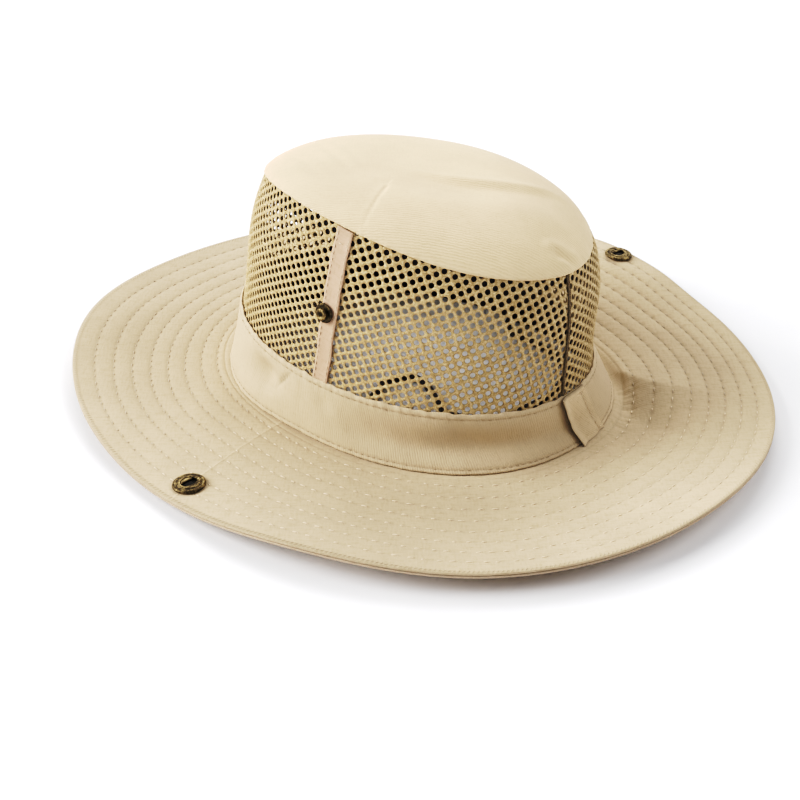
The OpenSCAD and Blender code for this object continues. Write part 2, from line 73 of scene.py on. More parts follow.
# How the soft brim lies, every 30 degrees from the left side round by the back
BRIM_SAG = (1.6, 0, -2.8, -3, 0, 0, 0, 0, 0, -1.5, -1, 1)
RIM_LIFT = (1.2, 1.5, 1.4, 1.0, -2.4, 0.9, -3.2, -0.5, 0, -0.4, 2.2, 1.8)
RIM_REACH = (0, 0, -0.4, -1.2, -0.4, -0.8, 0, 0, 0, 0, -0.8, -0.3)
ROW_DRIFT = (-0.025, 0, 0, 0.02, 0.05, 0.06, 0.03, 0, -0.03, -0.07, -0.05, 0)
# Its rows of stitches and side seams, how low it may sag, and where it bends when a side is folded up
ROW_GAP, ROWS = 0.11, 8
SIDE_SEAM, SEAM_LEAN, BACK_SIDE_SEAM = 4.4, -10.8, 183
BRIM_LOWEST, BEND_FROM, BEND_TO = 2.7, 84.5, 105.5


# Small functions

def lerp(a, b, t):
    return a + (b - a) * t


def unit(v):
    return v / np.linalg.norm(v, axis=-1, keepdims=True)


def bell(x, middle, width):
    return np.exp(-((x - middle) / width) ** 2)


def smooth(x):
    x = np.clip(x, 0, 1)
    return x * x * (3 - 2 * x)


def turn_gap(th, middle):
    return (np.asarray(th) - middle + 180) % 360 - 180


def near(th, middle, width):
    return bell(turn_gap(th, middle), 0, width)


def around(values, th):
    """A smooth closed curve through values at even angles."""
    v = np.asarray(values, float)
    n = len(v)
    x = (np.asarray(th, float) / 360 * n) % n
    i = np.floor(x).astype(int)
    t = x - i
    p0, p1, p2, p3 = v[(i - 1) % n], v[i % n], v[(i + 1) % n], v[(i + 2) % n]
    cubic = 3 * (p1 - p2) + p3 - p0
    return p1 + t * ((p2 - p0) + t * ((2 * p0 - 5 * p1 + 4 * p2 - p3) + t * cubic)) / 2


def ripple(x, wave, seed):
    """An uneven wave of height about 1 along x."""
    parts = ((1, 0.0), (0.618, 1.7), (1.57, 4.1), (0.37, 2.9))
    return sum(np.sin(2 * np.pi * x / wave * f + a + seed) for f, a in parts) / 2.4


def run_along(line):
    """Distances along a line of points."""
    return np.concatenate([[0], np.cumsum(np.linalg.norm(np.diff(line, axis=0), axis=1))])


def at_marks(marks, run, line):
    """Points of a line at given distances along it."""
    return np.stack([np.interp(marks, run, line[:, k]) for k in range(3)], -1)


def full_turn(n):
    return np.linspace(0, 2 * np.pi, n, endpoint=False)


def facing(line, way=1):
    """A line of stitches on an upright face: its points, and the way the face looks."""
    return line, unit(line * (way, way, 0))


# Form of the hat

def oval(a, b, n, th):
    c, s = np.cos(np.radians(th)), np.sin(np.radians(th))
    r = ((abs(c) / b) ** n + (abs(s) / a) ** n) ** (-1 / n)
    return np.stack([r * c, r * s], -1)


def raised(xy, z):
    return np.concatenate([xy, np.broadcast_to(z, xy.shape[:-1])[..., None]], -1)


def base_ring(th, off=0):
    return raised(oval(BASE_LEN / 2 + off, BASE_WID / 2 + off, BASE_POWER, th) + BASE_SHIFT, BRIM_Z)


def band_ring(th, off=0):
    xy = oval(BAND_LEN / 2 + off, BAND_WID / 2 + off, BAND_POWER, th) + BAND_SHIFT
    return raised(xy, BAND_TOP_Z + xy @ np.array(BAND_SLOPE))


def tip_ring(th, off=0):
    xy = oval(TIP_LEN / 2 + off, TIP_WID / 2 + off, TIP_POWER, th) + TIP_SHIFT
    a = np.radians(th)
    rise = SEAM_SIDE_RISE * np.cos(a) - SEAM_BACK_DROP * np.sin(a)
    wave = SEAM_SIDE_WAVE * np.cos(2 * a) - SEAM_CORNER_WAVE * np.sin(2 * a)
    return raised(xy, SEAM_Z + rise + wave)


def band_dent(th, v):
    """A soft dent in the band on the left."""
    return near(th, -19, 7.5) * bell(v, 0.56, 0.2)


def band_crease(th, v):
    """A short sharp crease beside the dent."""
    return bell(turn_gap(th, -2.8 - 22 * (0.92 - v)), 0, 0.6) * bell(v, 0.69, 0.18)


def band_soft(th, v):
    """How far the limp band stands out from its plain form."""
    v = np.clip(v, 0, 1)
    hollow = -5.2 * near(th, 60, 29) * bell(v, 0.38, np.where(v < 0.38, 0.17, 0.34))
    flare = 2.8 * near(th, -28, 20) * bell(v, 0, 0.4) + 0.9 * near(th, 60, 34) * bell(v, 0, 0.14)
    dent = -5.6 * band_dent(th, v) - 0.9 * near(th, 12, 3.5) * bell(v, 0.68, 0.15)
    lip = 0.9 * near(th, -14, 7) * bell(v, 0.36, 0.08)
    crease = -2.0 * band_crease(th, v) + 0.5 * near(th, -1, 3) * bell(v, 0.75, 0.2)
    swell = 0.5 * ripple(th, 47, 1) * np.sin(np.pi * v)
    slack = 0.35 * ripple(th + 14 * v, 17, 2) * ripple(th, 71, 6) * np.sin(np.pi * v)
    return (hollow + flare + dent + lip + crease + swell + slack) * (1 - v ** 6)


def band_at(th, v, off=0):
    th, v, off = np.broadcast_arrays(th, v, off)
    p = lerp(base_ring(th, off), band_ring(th, off), v[..., None])
    out = unit(p[..., :2])
    p[..., :2] += out * band_soft(th, v)[..., None]
    return p


def mesh_at(th, v, off=0):
    th, v, off = np.broadcast_arrays(th, v, off)
    high = np.clip(v, 0, 1)
    corner = 3.3 * near(th, 136, 26) * smooth((high - 0.15) / 0.5) * (1 - high ** 14)
    swell = (MESH_BULGE + 1.3 * near(th, -45, 28)) * np.sin(np.pi * high ** 1.6) + corner
    return lerp(band_ring(th, off + swell), tip_ring(th, off + swell), v[..., None])


def to_segment(xy, a, b):
    """Distance from points to a line between two points, and the side on which they lie."""
    a, b = np.array(a, float), np.array(b, float)
    along = b - a
    t = np.clip((xy - a) @ along / (along @ along), 0, 1)
    gap = xy - (a + t[..., None] * along)
    side = np.sign(along[0] * gap[..., 1] - along[1] * gap[..., 0])
    return np.linalg.norm(gap, axis=-1), side


def tip_soft(xy):
    """Soft folds in the tip: a dart on the left, a ridge across the top, slack cloth."""
    d, side = to_segment(xy, (34, 14.7), (64, 29.7))
    dart = -0.55 * bell(d, 0, 1.1) - 0.3 * bell(d * side, -4, 4)
    start, reach = np.array((8.7, 11.1)), np.array((-49.1, 42.3))
    share = (xy - start) @ reach / (reach @ reach)
    below = (xy - start) @ np.array((reach[1], -reach[0])) / np.linalg.norm(reach)
    below = below - 26 * np.clip(share, 0, 1) * np.clip(1 - share, 0, 1)
    ends = smooth((share + 0.2) / 0.6) * (1 - smooth((share - 0.85) / 0.5))
    ridge = ends * (0.6 * bell(below, 0, 3) - 1.9 * smooth(below / 8) * bell(np.maximum(below, 8), 8, 30))
    slack = 0.5 * ripple(xy[..., 0] + 0.6 * xy[..., 1], 61, 2) * ripple(xy[..., 1], 77, 5)
    left_end = bell(np.hypot(xy[..., 0] - 40, xy[..., 1] + 32), 0, 24)
    wrinkles = 0.35 * ripple(xy[..., 0] - 0.4 * xy[..., 1], 15, 1) * left_end
    return dart + ridge + slack + wrinkles - 0.6


def tip_tuck(xy):
    """The tuck where the seam pulls the tip's edge in at the back corner."""
    d, side = to_segment(xy, (-4, 90), (-16, 99))
    return -1.3 * bell(d, 0, 1.8) + 0.8 * bell(d * side, 4, 3) + 0.5 * bell(d * side, -4, 3)


TIP_ROUND_END = -48


def tip_at(th, r, off=0):
    th, r, off = np.broadcast_arrays(th, r, off)
    edge = tip_ring(th, off)
    xy = np.array(TIP_SHIFT) + (edge[..., :2] - TIP_SHIFT) * r[..., None]
    top = TIP_Z + xy @ np.array(TIP_SLOPE) + off + tip_soft(xy)
    fullness = 1 - 0.19 * near(th, TIP_ROUND_END, 35) - 0.15 * near(th, 140, 30)
    z = lerp(edge[..., 2], top, (1 - np.minimum(r, 1) ** TIP_FLATNESS) ** fullness)
    return raised(xy, z + tip_tuck(xy) * (1 - smooth((r - 0.96) / 0.04)))


def rim_ring(th):
    a, b, n = BRIM_CORE_LEN / 2, BASE_WID / 2, BASE_POWER
    p = oval(a, b, n, th)
    half = np.array([b, a])
    normal = unit(np.sign(p) * (abs(p) / half) ** (n - 1) / half)
    return raised(p + BRIM_W * normal, around(RIM_HEIGHTS, th))


def brim_fold(th, t):
    """The fold across the back of the brim on the right: a ridge, and a hollow below it."""
    gap = turn_gap(th, 119 + 14 * np.exp(-np.maximum(t, 0) / 0.11))
    far = np.exp((0.8 - np.hypot(gap, 0.8)) / 14)
    steep = -0.85 + 1.85 * np.clip(1 + gap / 13, 0, 1) ** 1.25
    near_side = np.where(gap > -13, steep, -0.85 * bell(gap, -13, 13))
    reach = smooth(t / 0.1) * (1 - 0.9 * smooth((t - 0.18) / 0.48))
    return 5.2 * reach * np.where(gap > 0, far, near_side)


def brim_soft(th, t):
    """How far the limp brim lies above its plain form."""
    across = np.sin(np.pi * np.clip(t, 0, 1))
    droop = 0.6 * ripple(th, 53, 3) * smooth((t - 0.5) / 0.5)
    rim = (around(RIM_LIFT, th) + 2.0 * near(th, 160, 9)) * smooth((t - 0.45) / 0.55)
    crest = 3.0 * near(th, 173, 14) * bell(t, 0.82, 0.16)
    return around(BRIM_SAG, th) * across + brim_fold(th, t) + droop + rim + crest


def above_floor(z):
    """The brim comes to rest on the floor where its folds press it down."""
    return (z + BRIM_LOWEST + np.hypot(z - BRIM_LOWEST, 1)) / 2


def brim_at(th, t):
    th, t = np.broadcast_arrays(np.asarray(th, float), np.asarray(t, float))
    lean = SEAM_LEAN * (1 - t) * near(th, SIDE_SEAM, 25)
    inner, outer = base_ring(th + lean), rim_ring(th + lean)
    p = lerp(inner, outer, t[..., None])
    p[..., :2] += unit((outer - inner)[..., :2]) * (around(RIM_REACH, th) * t)[..., None]
    p[..., 2] = above_floor(p[..., 2] + brim_soft(th, t))
    return p


def brim_share(th, row):
    """Share of the brim's width at a row of stitches; rows are counted from the band."""
    t = ROW_GAP * row
    return t + around(ROW_DRIFT, th) * np.sin(np.pi * np.clip(t, 0, 1))


# Mesh building

def new_object(name, data):
    made = bpy.data.objects.new(name, data)
    bpy.context.collection.objects.link(made)
    return made


def new_piece(name, points, faces, material, corner_uv=None, tone=None, sharp=None):
    """A mesh object from points in millimetres; cloth without flat places of its own is cut in plan."""
    mesh = bpy.data.meshes.new(name)
    mesh.from_pydata((np.asarray(points) * MM).tolist(), [], faces)
    if corner_uv is None:
        corners = np.empty(len(mesh.loops), int)
        mesh.loops.foreach_get("vertex_index", corners)
        corner_uv = points[corners, :2]
    layer = mesh.uv_layers.new(name="cloth")
    layer.data.foreach_set("uv", (corner_uv * MM).ravel())
    values = np.ones(len(points)) if tone is None else tone
    shade = mesh.attributes.new("tone", "FLOAT", "POINT")
    shade.data.foreach_set("value", values.astype(np.float32))
    mesh.validate()
    mesh.shade_smooth()
    if sharp:
        mesh.set_sharp_from_angle(angle=math.radians(sharp))
    mesh.materials.append(material)
    return new_object(name, mesh)


def swept(points, wrap=False, caps=True, uv=None):
    """Faces of a skin over rings of points, and its flat coordinates per face corner."""
    sections, ring = points.shape[:2]
    i, j = np.meshgrid(np.arange(sections if wrap else sections - 1), np.arange(ring), indexing="ij")
    i, j = i.ravel(), j.ravel()
    steps = ((0, 0), (1, 0), (1, 1), (0, 1))
    quads = np.stack([(i + a) % sections * ring + (j + b) % ring for a, b in steps], 1)
    faces = quads.tolist()
    corner_uv = None
    if uv is not None:
        corner_uv = np.stack([uv[i + a, j + b] for a, b in steps], 1).reshape(-1, 2)
    if caps and not wrap:
        faces.append(list(range(ring)))
        faces.append([(sections - 1) * ring + k for k in reversed(range(ring))])
        if uv is not None:
            corner_uv = np.concatenate([corner_uv, uv[0, :ring], uv[sections - 1, ring - 1::-1]])
    return faces, corner_uv


def skin(name, points, material, wrap=False, caps=True, tone=None, sharp=None, plan=False):
    """A piece from rings of points; its cloth is laid along the rings unless it is cut in plan."""
    points = np.asarray(points, float)
    uv = None
    if not plan:
        closed = np.concatenate([points, points[:1]]) if wrap else points
        closed = np.concatenate([closed, closed[:, :1]], 1)
        along = np.linalg.norm(np.diff(closed, axis=0), axis=-1).mean(1)
        across = np.linalg.norm(np.diff(closed, axis=1), axis=-1).mean(0)
        u = np.concatenate([[0], np.cumsum(along)])
        v = np.concatenate([[0], np.cumsum(across)])
        uv = np.stack(np.meshgrid(u, v, indexing="ij"), -1)
    faces, corner_uv = swept(points, wrap, caps, uv)
    flat_tone = None if tone is None else np.broadcast_to(tone, points.shape[:2]).ravel()
    return new_piece(name, points.reshape(-1, 3), faces, material, corner_uv=corner_uv,
                     tone=flat_tone, sharp=sharp)


def in_frame(piece, node=None, body="hat"):
    """Puts a piece on a body, in place of a node if it stands for one."""
    if node:
        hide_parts(node)
    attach(piece, body)


def lathe(profile, sides):
    """Rings of points round Z for an outline of radii and heights."""
    a = full_turn(sides)
    r, z = profile.T[..., None]
    return np.stack([r * np.cos(a), r * np.sin(a), np.repeat(z, sides, 1)], -1)


def standing(point, normal):
    """A frame whose Z is the normal, turned as the part's source turns its studs."""
    heading = Matrix.Rotation(math.atan2(normal[1], normal[0]), 4, "Z")
    tilt = Matrix.Rotation(math.acos(normal[2]), 4, "Y")
    return Matrix.Translation(Vector(point)) @ heading @ tilt


def placed(points, place):
    m = np.array(place)
    return points @ m[:3, :3].T + m[:3, 3]


# Pitch, length and radius of each kind of stitch, and how uneven loose ones are
BRIM_STITCH, BAND_STITCH, LAP_STITCH = (6.6, 2.7, 0.29), (3.4, 1.9, 0.17), (3.0, 1.9, 0.17)
STRIP_STITCH, SEAM_STITCH = (3.3, 2.2, 0.2), (2.6, 1.8, 0.16)
SWEAT_STITCH, TAB_STITCH, RIM_RIB = (3.6, 2.4, 0.22), (2.0, 1.4, 0.22), (3.2, 3.2, 0.28)
LOOSE_PITCH, LOOSE_LENGTH, LOOSE_SIDE = 0.12, 0.3, 0.18
STITCH_SIDES, STITCH_AIM = 6, 0.8


def stitch_form(length, radius):
    """One stitch along X: a thread that comes up, lies on the cloth and goes down."""
    x = np.array([-0.5, -0.36, 0, 0.36, 0.5])[:, None] * length
    lift = np.array([-0.5, 0.25, 0.55, 0.25, -0.5])[:, None] * radius
    thick = np.array([0.35, 0.9, 1, 0.9, 0.35])[:, None] * radius
    a = full_turn(STITCH_SIDES)
    return np.stack([np.repeat(x, STITCH_SIDES, 1), thick * np.cos(a), lift + thick * np.sin(a)], -1)


def stitches(name, lines, size, material, loose=0.0, shade=None):
    """Stitches along lines, uneven if loose; each line is (points, surface normals)."""
    uneven = np.random.default_rng(7)
    pitch, length, radius = size
    form = stitch_form(length, radius)
    faces_one, _ = swept(form)
    flat = form.reshape(-1, 3)
    points, faces, tones, count = [], [], [], 0
    for line, normals in lines:
        run = run_along(line)
        marks = np.arange(pitch / 2, run[-1], pitch)
        marks = marks + loose * LOOSE_PITCH * pitch * uneven.uniform(-1, 1, len(marks))
        stretch = 1 + loose * LOOSE_LENGTH * uneven.uniform(-1, 1, (len(marks), 1, 1))
        middle = at_marks(marks, run, line)
        heading = unit(at_marks(marks + STITCH_AIM, run, line) - at_marks(marks - STITCH_AIM, run, line))
        side = unit(np.cross(at_marks(marks, run, normals), heading))
        up = np.cross(heading, side)
        middle = middle + loose * LOOSE_SIDE * uneven.uniform(-1, 1, (len(marks), 1)) * side
        spots = (middle[:, None] + stretch * flat[None, :, :1] * heading[:, None]
                 + flat[None, :, 1:2] * side[:, None] + flat[None, :, 2:] * up[:, None])
        for spot in spots:
            points.append(spot)
            faces += [[k + count for k in f] for f in faces_one]
            count += len(flat)
        tones.append(np.repeat(np.ones(len(marks)) if shade is None else shade(middle), len(flat)))
    return new_piece(name, np.concatenate(points), faces, material, tone=np.concatenate(tones))


# Materials

class Paint:
    """A material made of nodes."""

    def __init__(self, name):
        self.material = bpy.data.materials.new(name)
        self.material.use_nodes = True
        self.tree = self.material.node_tree

    def put(self, node, inputs):
        """Sets or links inputs, each named with _ for a space, or numbered."""
        for key, value in inputs.items():
            socket = node.inputs[int(key) if key.isdigit() else key.replace("_", " ")]
            if isinstance(value, bpy.types.NodeSocket):
                self.tree.links.new(value, socket)
            else:
                socket.default_value = value

    def add(self, kind, output, settings=(), **inputs):
        """Adds a node and gives one of its outputs."""
        node = self.tree.nodes.new("ShaderNode" + kind)
        for key, value in dict(settings).items():
            setattr(node, key, value)
        self.put(node, inputs)
        return node.outputs[output]

    def cloth_place(self, turn=0, along=1):
        """Flat places on the cloth, turned, and drawn out along the second way."""
        flat = self.add("TexCoord", "UV")
        return self.add("Mapping", "Vector", {"vector_type": "TEXTURE"}, Vector=flat,
                        Rotation=(0, 0, math.radians(-turn)), Scale=(1, along, 1))

    def solid_place(self):
        return self.add("TexCoord", "Object")

    def noise(self, place, size, detail=2, rough=0.55):
        return self.add("TexNoise", "Fac", Vector=place, Scale=1 / size, Detail=detail, Roughness=rough)

    def bands(self, place, pitch, distort, axis="X"):
        return self.add("TexWave", "Fac", {"bands_direction": axis}, Vector=place, Detail=1.0,
                        Scale=2 * math.pi / 20 / pitch, Distortion=distort, Detail_Scale=1.5)

    def ramp(self, fac, stops):
        colour = self.add("ValToRGB", "Color", Fac=fac)
        marks = colour.node.color_ramp.elements
        while len(marks) < len(stops):
            marks.new(0.5)
        for mark, (at, shade) in zip(marks, stops):
            mark.position = at
            mark.color = (*shade, 1)
        return colour

    def between(self, fac, low, high):
        return self.add("MapRange", "Result", Value=fac, To_Min=low, To_Max=high)

    def multiplied(self, share, a, b):
        kind = {"data_type": "RGBA", "blend_type": "MULTIPLY"}
        return self.add("Mix", 2, kind, **{"0": share, "6": a, "7": b})

    def toned(self, colour):
        """The colour, darkened or lightened by each point's tone, which carries painted shade and painted
        highlight as well as the cloth's own tone.
        """
        return self.multiplied(1.0, colour, self.add("Attribute", "Color", {"attribute_name": "tone"}))

    def sum(self, a, b, share):
        return self.add("Math", 0, {"operation": "MULTIPLY_ADD"}, **{"0": b, "1": share, "2": a})

    def finish(self, height, depth, **inputs):
        """Sets the shader and its relief, and gives the material."""
        if depth:
            inputs["Normal"] = self.add("Bump", "Normal", Height=height, Distance=depth, Strength=1.0)
        self.put(self.tree.nodes["Principled BSDF"], inputs)
        return self.material


def tinted(colour, factor):
    return tuple(min(1.0, c * factor) for c in colour)


def shades(colour, dark, light, start=0.3, end=0.7):
    """A ramp from a darker to a lighter shade of one colour."""
    return (start, tinted(colour, dark)), (end, tinted(colour, light))


def cotton(name, colour, turn, rib=0.0011, ribbed=0.5, depth=0.0001):
    """Twill of dyed cotton: fine ribs, drawn-out slubs both ways, and a slightly uneven dye."""
    m = Paint(name)
    ribs = m.bands(m.cloth_place(turn), rib, 3.0)
    warp = m.noise(m.cloth_place(turn, 6), 0.0014, 3, 0.65)
    weft = m.noise(m.cloth_place(turn + 90, 5), 0.0011, 2, 0.6)
    dye = m.ramp(m.noise(m.solid_place(), 0.03, 4, 0.6), shades(colour, 0.95, 1.05))
    weave = m.sum(m.sum(warp, weft, 0.7), ribs, ribbed)
    threads = m.ramp(weave, ((0.62, (0.82, 0.81, 0.77)), (1.0, (1.0, 1.0, 1.0))))
    return m.finish(weave, depth, Base_Color=m.toned(m.multiplied(0.9, dye, threads)),
                    Roughness=m.between(warp, 0.82, 0.97), Sheen_Weight=0.12, Sheen_Roughness=0.5,
                    Specular_IOR_Level=0.12)


def net_thread(name):
    """Knitted golden net with lighter and darker yarns."""
    m = Paint(name)
    place = m.solid_place()
    fleck = m.noise(place, 0.0012, 3, 0.75)
    patch = m.noise(place, 0.008, 2)
    yarn = m.ramp(fleck, ((0.3, (0.315, 0.216, 0.108)), (0.5, (0.515, 0.388, 0.215)),
                          (0.72, (0.8, 0.676, 0.455))))
    worn = m.multiplied(0.5, yarn, m.ramp(patch, ((0.3, (0.88, 0.85, 0.82)), (0.7, (1, 1, 1)))))
    knit = m.sum(m.bands(m.cloth_place(45), 0.0007, 2.0), fleck, 1.0)
    return m.finish(knit, 0.00015, Base_Color=m.toned(worn), Roughness=m.between(fleck, 0.6, 0.85),
                    Sheen_Weight=0.1, Specular_IOR_Level=0.25)


def dark_weave(name, colour, turn, pitch):
    """Dark tape: crossed ribs with a faint bloom of wear."""
    m = Paint(name)
    place = m.cloth_place(turn)
    warp = m.bands(place, pitch, 0.8)
    weft = m.bands(place, pitch, 0.8, "Y")
    wear = m.noise(m.solid_place(), 0.012, 3)
    dye = m.ramp(wear, shades(colour, 0.8, 1.7, 0.3, 0.75))
    return m.finish(m.sum(warp, weft, 1.0), 0.0002, Base_Color=m.toned(dye), Sheen_Weight=0.1,
                    Roughness=m.between(wear, 0.75, 0.95), Specular_IOR_Level=0.2)


def braid(name, colour):
    """Round cord braided from dark strands."""
    m = Paint(name)
    one = m.bands(m.cloth_place(52), 0.0016, 0.5)
    other = m.bands(m.cloth_place(-52), 0.0016, 0.5)
    fuzz = m.noise(m.solid_place(), 0.0009, 3)
    dye = m.ramp(m.sum(one, fuzz, 0.7), shades(colour, 0.6, 1.9, 0.3, 1.0))
    return m.finish(m.sum(one, other, 1.0), 0.00035, Base_Color=dye, Roughness=m.between(fuzz, 0.65, 0.9),
                    Sheen_Weight=0.12)


def antique_brass(name):
    """Brass with a dark finish that is rubbed bright on the raised parts."""
    m = Paint(name)
    place = m.solid_place()
    mottle = m.noise(place, 0.0011, 4, 0.7)
    stain = m.noise(place, 0.004, 2)
    metal = m.ramp(m.sum(mottle, stain, 0.6), ((0.5, (0.022, 0.017, 0.011)), (0.75, (0.085, 0.062, 0.032)),
                                               (1.0, (0.34, 0.265, 0.14))))
    return m.finish(mottle, 0.00005, Base_Color=m.toned(metal), Metallic=0.85,
                    Roughness=m.between(mottle, 0.36, 0.6))


def moulded_plastic(name, colour):
    m = Paint(name)
    place = m.solid_place()
    scuff = m.noise(place, 0.005, 4, 0.7)
    dye = m.ramp(scuff, shades(colour, 0.8, 2.2, 0.35, 0.8))
    return m.finish(m.noise(place, 0.0005), 0.00004, Base_Color=dye, Roughness=m.between(scuff, 0.35, 0.6))


def grained(name, stops, grain, gloss, depth=0, toned=False, **inputs):
    """A finish whose colour, roughness and relief all follow one grain."""
    m = Paint(name)
    fleck = m.noise(m.solid_place(), *grain)
    colour = m.ramp(fleck, stops)
    return m.finish(fleck, depth, Base_Color=m.toned(colour) if toned else colour,
                    Roughness=m.between(fleck, *gloss), **inputs)


def thread(name, colour):
    return grained(name, shades(colour, 0.85, 1.05), (0.0006, 2), (0.6, 0.8), 0.00008, toned=True,
                   Sheen_Weight=0.1)


KHAKI = (0.525, 0.424, 0.299)
TIP_KHAKI = (0.68, 0.538, 0.362)
UNDER_KHAKI = (0.507, 0.404, 0.301)
TAPE_KHAKI = (0.54, 0.39, 0.287)
DARK = (0.017, 0.014, 0.014)
STEEL = ((0.3, (0.3, 0.29, 0.27)), (0.7, (0.62, 0.61, 0.58)))
FELT = ((0.3, (0.7, 0.7, 0.68)), (0.7, (0.86, 0.86, 0.84)))
PAPER = ((0.3, (0.93, 0.93, 0.955)), (0.7, (0.945, 0.945, 0.965)))
khaki_brim = cotton("khaki_cotton_brim", KHAKI, -45, ribbed=0.2, depth=0.00016)
khaki_under = cotton("khaki_cotton_under", UNDER_KHAKI, -28)
khaki_tip = cotton("khaki_cotton_tip", TIP_KHAKI, -42, 0.0013, 1.0)
khaki_band = cotton("khaki_cotton_band", tinted(KHAKI, 1.05), 9, 0.0012, 0.8)
khaki_lap = cotton("khaki_cotton_lap", tinted(KHAKI, 1.07), 30, 0.0012, 0.3)
khaki_tape = cotton("khaki_tape", TAPE_KHAKI, 8, 0.0009, 0.2)
net_yarn = net_thread("tan_mesh_yarn")
pale_thread = thread("pale_thread", (0.72, 0.595, 0.44))
rim_thread = thread("khaki_rim_thread", KHAKI)
tan_thread = thread("tan_thread", (0.36, 0.27, 0.16))
band_thread = thread("band_thread", (0.4, 0.3, 0.2))
dark_thread = thread("dark_thread", (0.03, 0.026, 0.024))
sweat_cloth = dark_weave("dark_sweatband_cloth", DARK, 20, 0.0014)
tab_cloth = dark_weave("dark_tab_tape", DARK, 0, 0.0011)
dark_braid = braid("dark_cord_braid", DARK)
brass = antique_brass("antique_brass_finish")
plastic = moulded_plastic("dark_plastic_finish", (0.014, 0.014, 0.015))
steel = grained("spring_steel_finish", STEEL, (0.0007, 3), (0.25, 0.45), 0.00003, Metallic=1.0)
interlining = grained("white_interlining_felt", FELT, (0.0012, 4, 0.8), (0.85, 1.0), 0.0002)
floor_paper = grained("floor_paper", PAPER, (0.02, 2), (0.85, 0.95), Specular_IOR_Level=0.1)


# Camera, as fitted to the photograph

CAMERA_AT, CAMERA_BACK = (455.72, 443.17, 379.5), (0.60132, 0.59848, 0.52938)
CAMERA_LENS, CAMERA_SENSOR = 61.0, 36


def add_camera():
    data = bpy.data.cameras.new("camera")
    data.lens = CAMERA_LENS
    data.sensor_width = CAMERA_SENSOR
    data.sensor_fit = "HORIZONTAL"
    data.clip_start = 0.01
    camera = new_object("camera", data)
    back = Vector(CAMERA_BACK)
    right = Vector((0, 0, 1)).cross(back).normalized()
    axes = Matrix((right, back.cross(right), back)).transposed().to_4x4()
    camera.matrix_world = Matrix.Translation(Vector(CAMERA_AT) * MM) @ axes
    bpy.context.scene.camera = camera


# Chin cord, its tabs and its lock

CORD_RINGS, CORD_SIDES, BEND_STEP = 420, 16, 1.2


def rounded_route():
    """The cord's middle line: the route with every corner rounded to the bend radius."""
    p = np.array(CORD_ROUTE, float)
    line = [p[:1]]
    for a, b, c in zip(p[:-2], p[1:-1], p[2:]):
        u, v = unit(a - b), unit(c - b)
        turn = np.pi - np.arccos(u @ v)
        d = BEND_R * np.tan(turn / 2)
        middle = b + unit(u + v) * np.hypot(BEND_R, d)
        start, end = b + u * d - middle, b + v * d - middle
        k = np.linspace(0, 1, max(2, round(BEND_R * turn / BEND_STEP)))[:, None]
        line.append(middle + (np.sin(turn * (1 - k)) * start + np.sin(turn * k) * end) / np.sin(turn))
    line.append(p[-1:])
    return np.concatenate(line)


def add_cord():
    line = rounded_route()
    run = run_along(line)
    path = at_marks(np.linspace(0, run[-1], CORD_RINGS), run, line)
    heading = unit(np.gradient(path, axis=0))
    heading[[0, -1]] = (-1, 0, 0)
    side = unit(np.cross(heading, (0, 0, 1)))[:, None]
    up = np.cross(side, heading[:, None])
    a = full_turn(CORD_SIDES)[:, None]
    ring = CORD_D / 2 * (np.cos(a) * side + np.sin(a) * up)
    cord = skin("braided_cord", path[:, None] + ring, dark_braid)
    in_frame(cord, "chin_cord")


TAB_DEPTH, TAB_WIDTH, TAB_HIGH = 4, 12, 6


def add_cord_tab(name, end, side, node):
    """A folded loop of tape that holds one end of the cord on the sweatband."""
    half = TAB_DEPTH / 2
    a = np.linspace(0, np.pi, 9)
    bow = np.stack([(half - 0.2) * np.cos(a), TAB_HIGH / 2 + (half - 0.2) * np.sin(a)], -1)
    foot = np.array([[-half, -TAB_HIGH / 2 + 0.5], [-half + 0.5, -TAB_HIGH / 2],
                     [half - 0.5, -TAB_HIGH / 2], [half, -TAB_HIGH / 2 + 0.5]])
    waist = np.array([[half - 0.1, 0.3]])
    outline = np.concatenate([bow, -waist * (1, -1), foot, waist])
    y = np.linspace(-0.5, 0.5, 15)
    squeeze = 1 - 0.12 * bell(abs(y), 0.5, 0.05)
    rings = np.stack([
        np.column_stack([outline[:, 0] * q, np.full(len(outline), k * TAB_WIDTH), outline[:, 1] * q])
        for k, q in zip(y, squeeze)])
    middle = np.array(end) + (side * half, 0, 0)
    tab = skin(name, rings + middle, tab_cloth, sharp=50)
    in_frame(tab, node)
    line = np.array([[-side * (half + 0.02), y, 1.8] for y in np.linspace(-5, 5, 12)]) + middle
    normals = np.tile((-side, 0.0, 0.0), (12, 1))
    bar = stitches(name + "_stitches", [(line, normals)], TAB_STITCH, dark_thread)
    in_frame(bar)


def finish_lock():
    for node, material in (("cord_lock_body", plastic), ("cord_lock_button", plastic),
                           ("cord_lock_spring", steel)):
        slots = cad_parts[node].data.materials
        slots.clear()
        slots.append(material)


# Brim: two cloths over a stiff interlining, quilted together in rows

HALF_COLUMNS, CORE_COLUMNS = 420, 361
GATHER_TURN = 2.8
PRESSED = -1.25
UPPER, MIDDLE, UNDER = (0, -0.8), (-0.9, -1.6), (-1.75, -2.5)
RIM_ROW = 1 / ROW_GAP
INNER_ROW = -1.4 / BRIM_W / ROW_GAP
QUILT_STEPS = (0, 0.06, 0.14, 0.28, 0.5, 0.72, 0.86, 0.94)
PIPING_ROW = 0.5


def brim_columns(first, last):
    """Angles round the brim, closer together at a side seam."""
    seams = [s + k for s in (SIDE_SEAM, BACK_SIDE_SEAM) for k in (-0.5, -0.2, 0, 0.2, 0.5)]
    even = np.linspace(first, last, HALF_COLUMNS + 1)
    return np.unique(np.round(np.concatenate([even, [s for s in seams if first < s < last]]), 3))


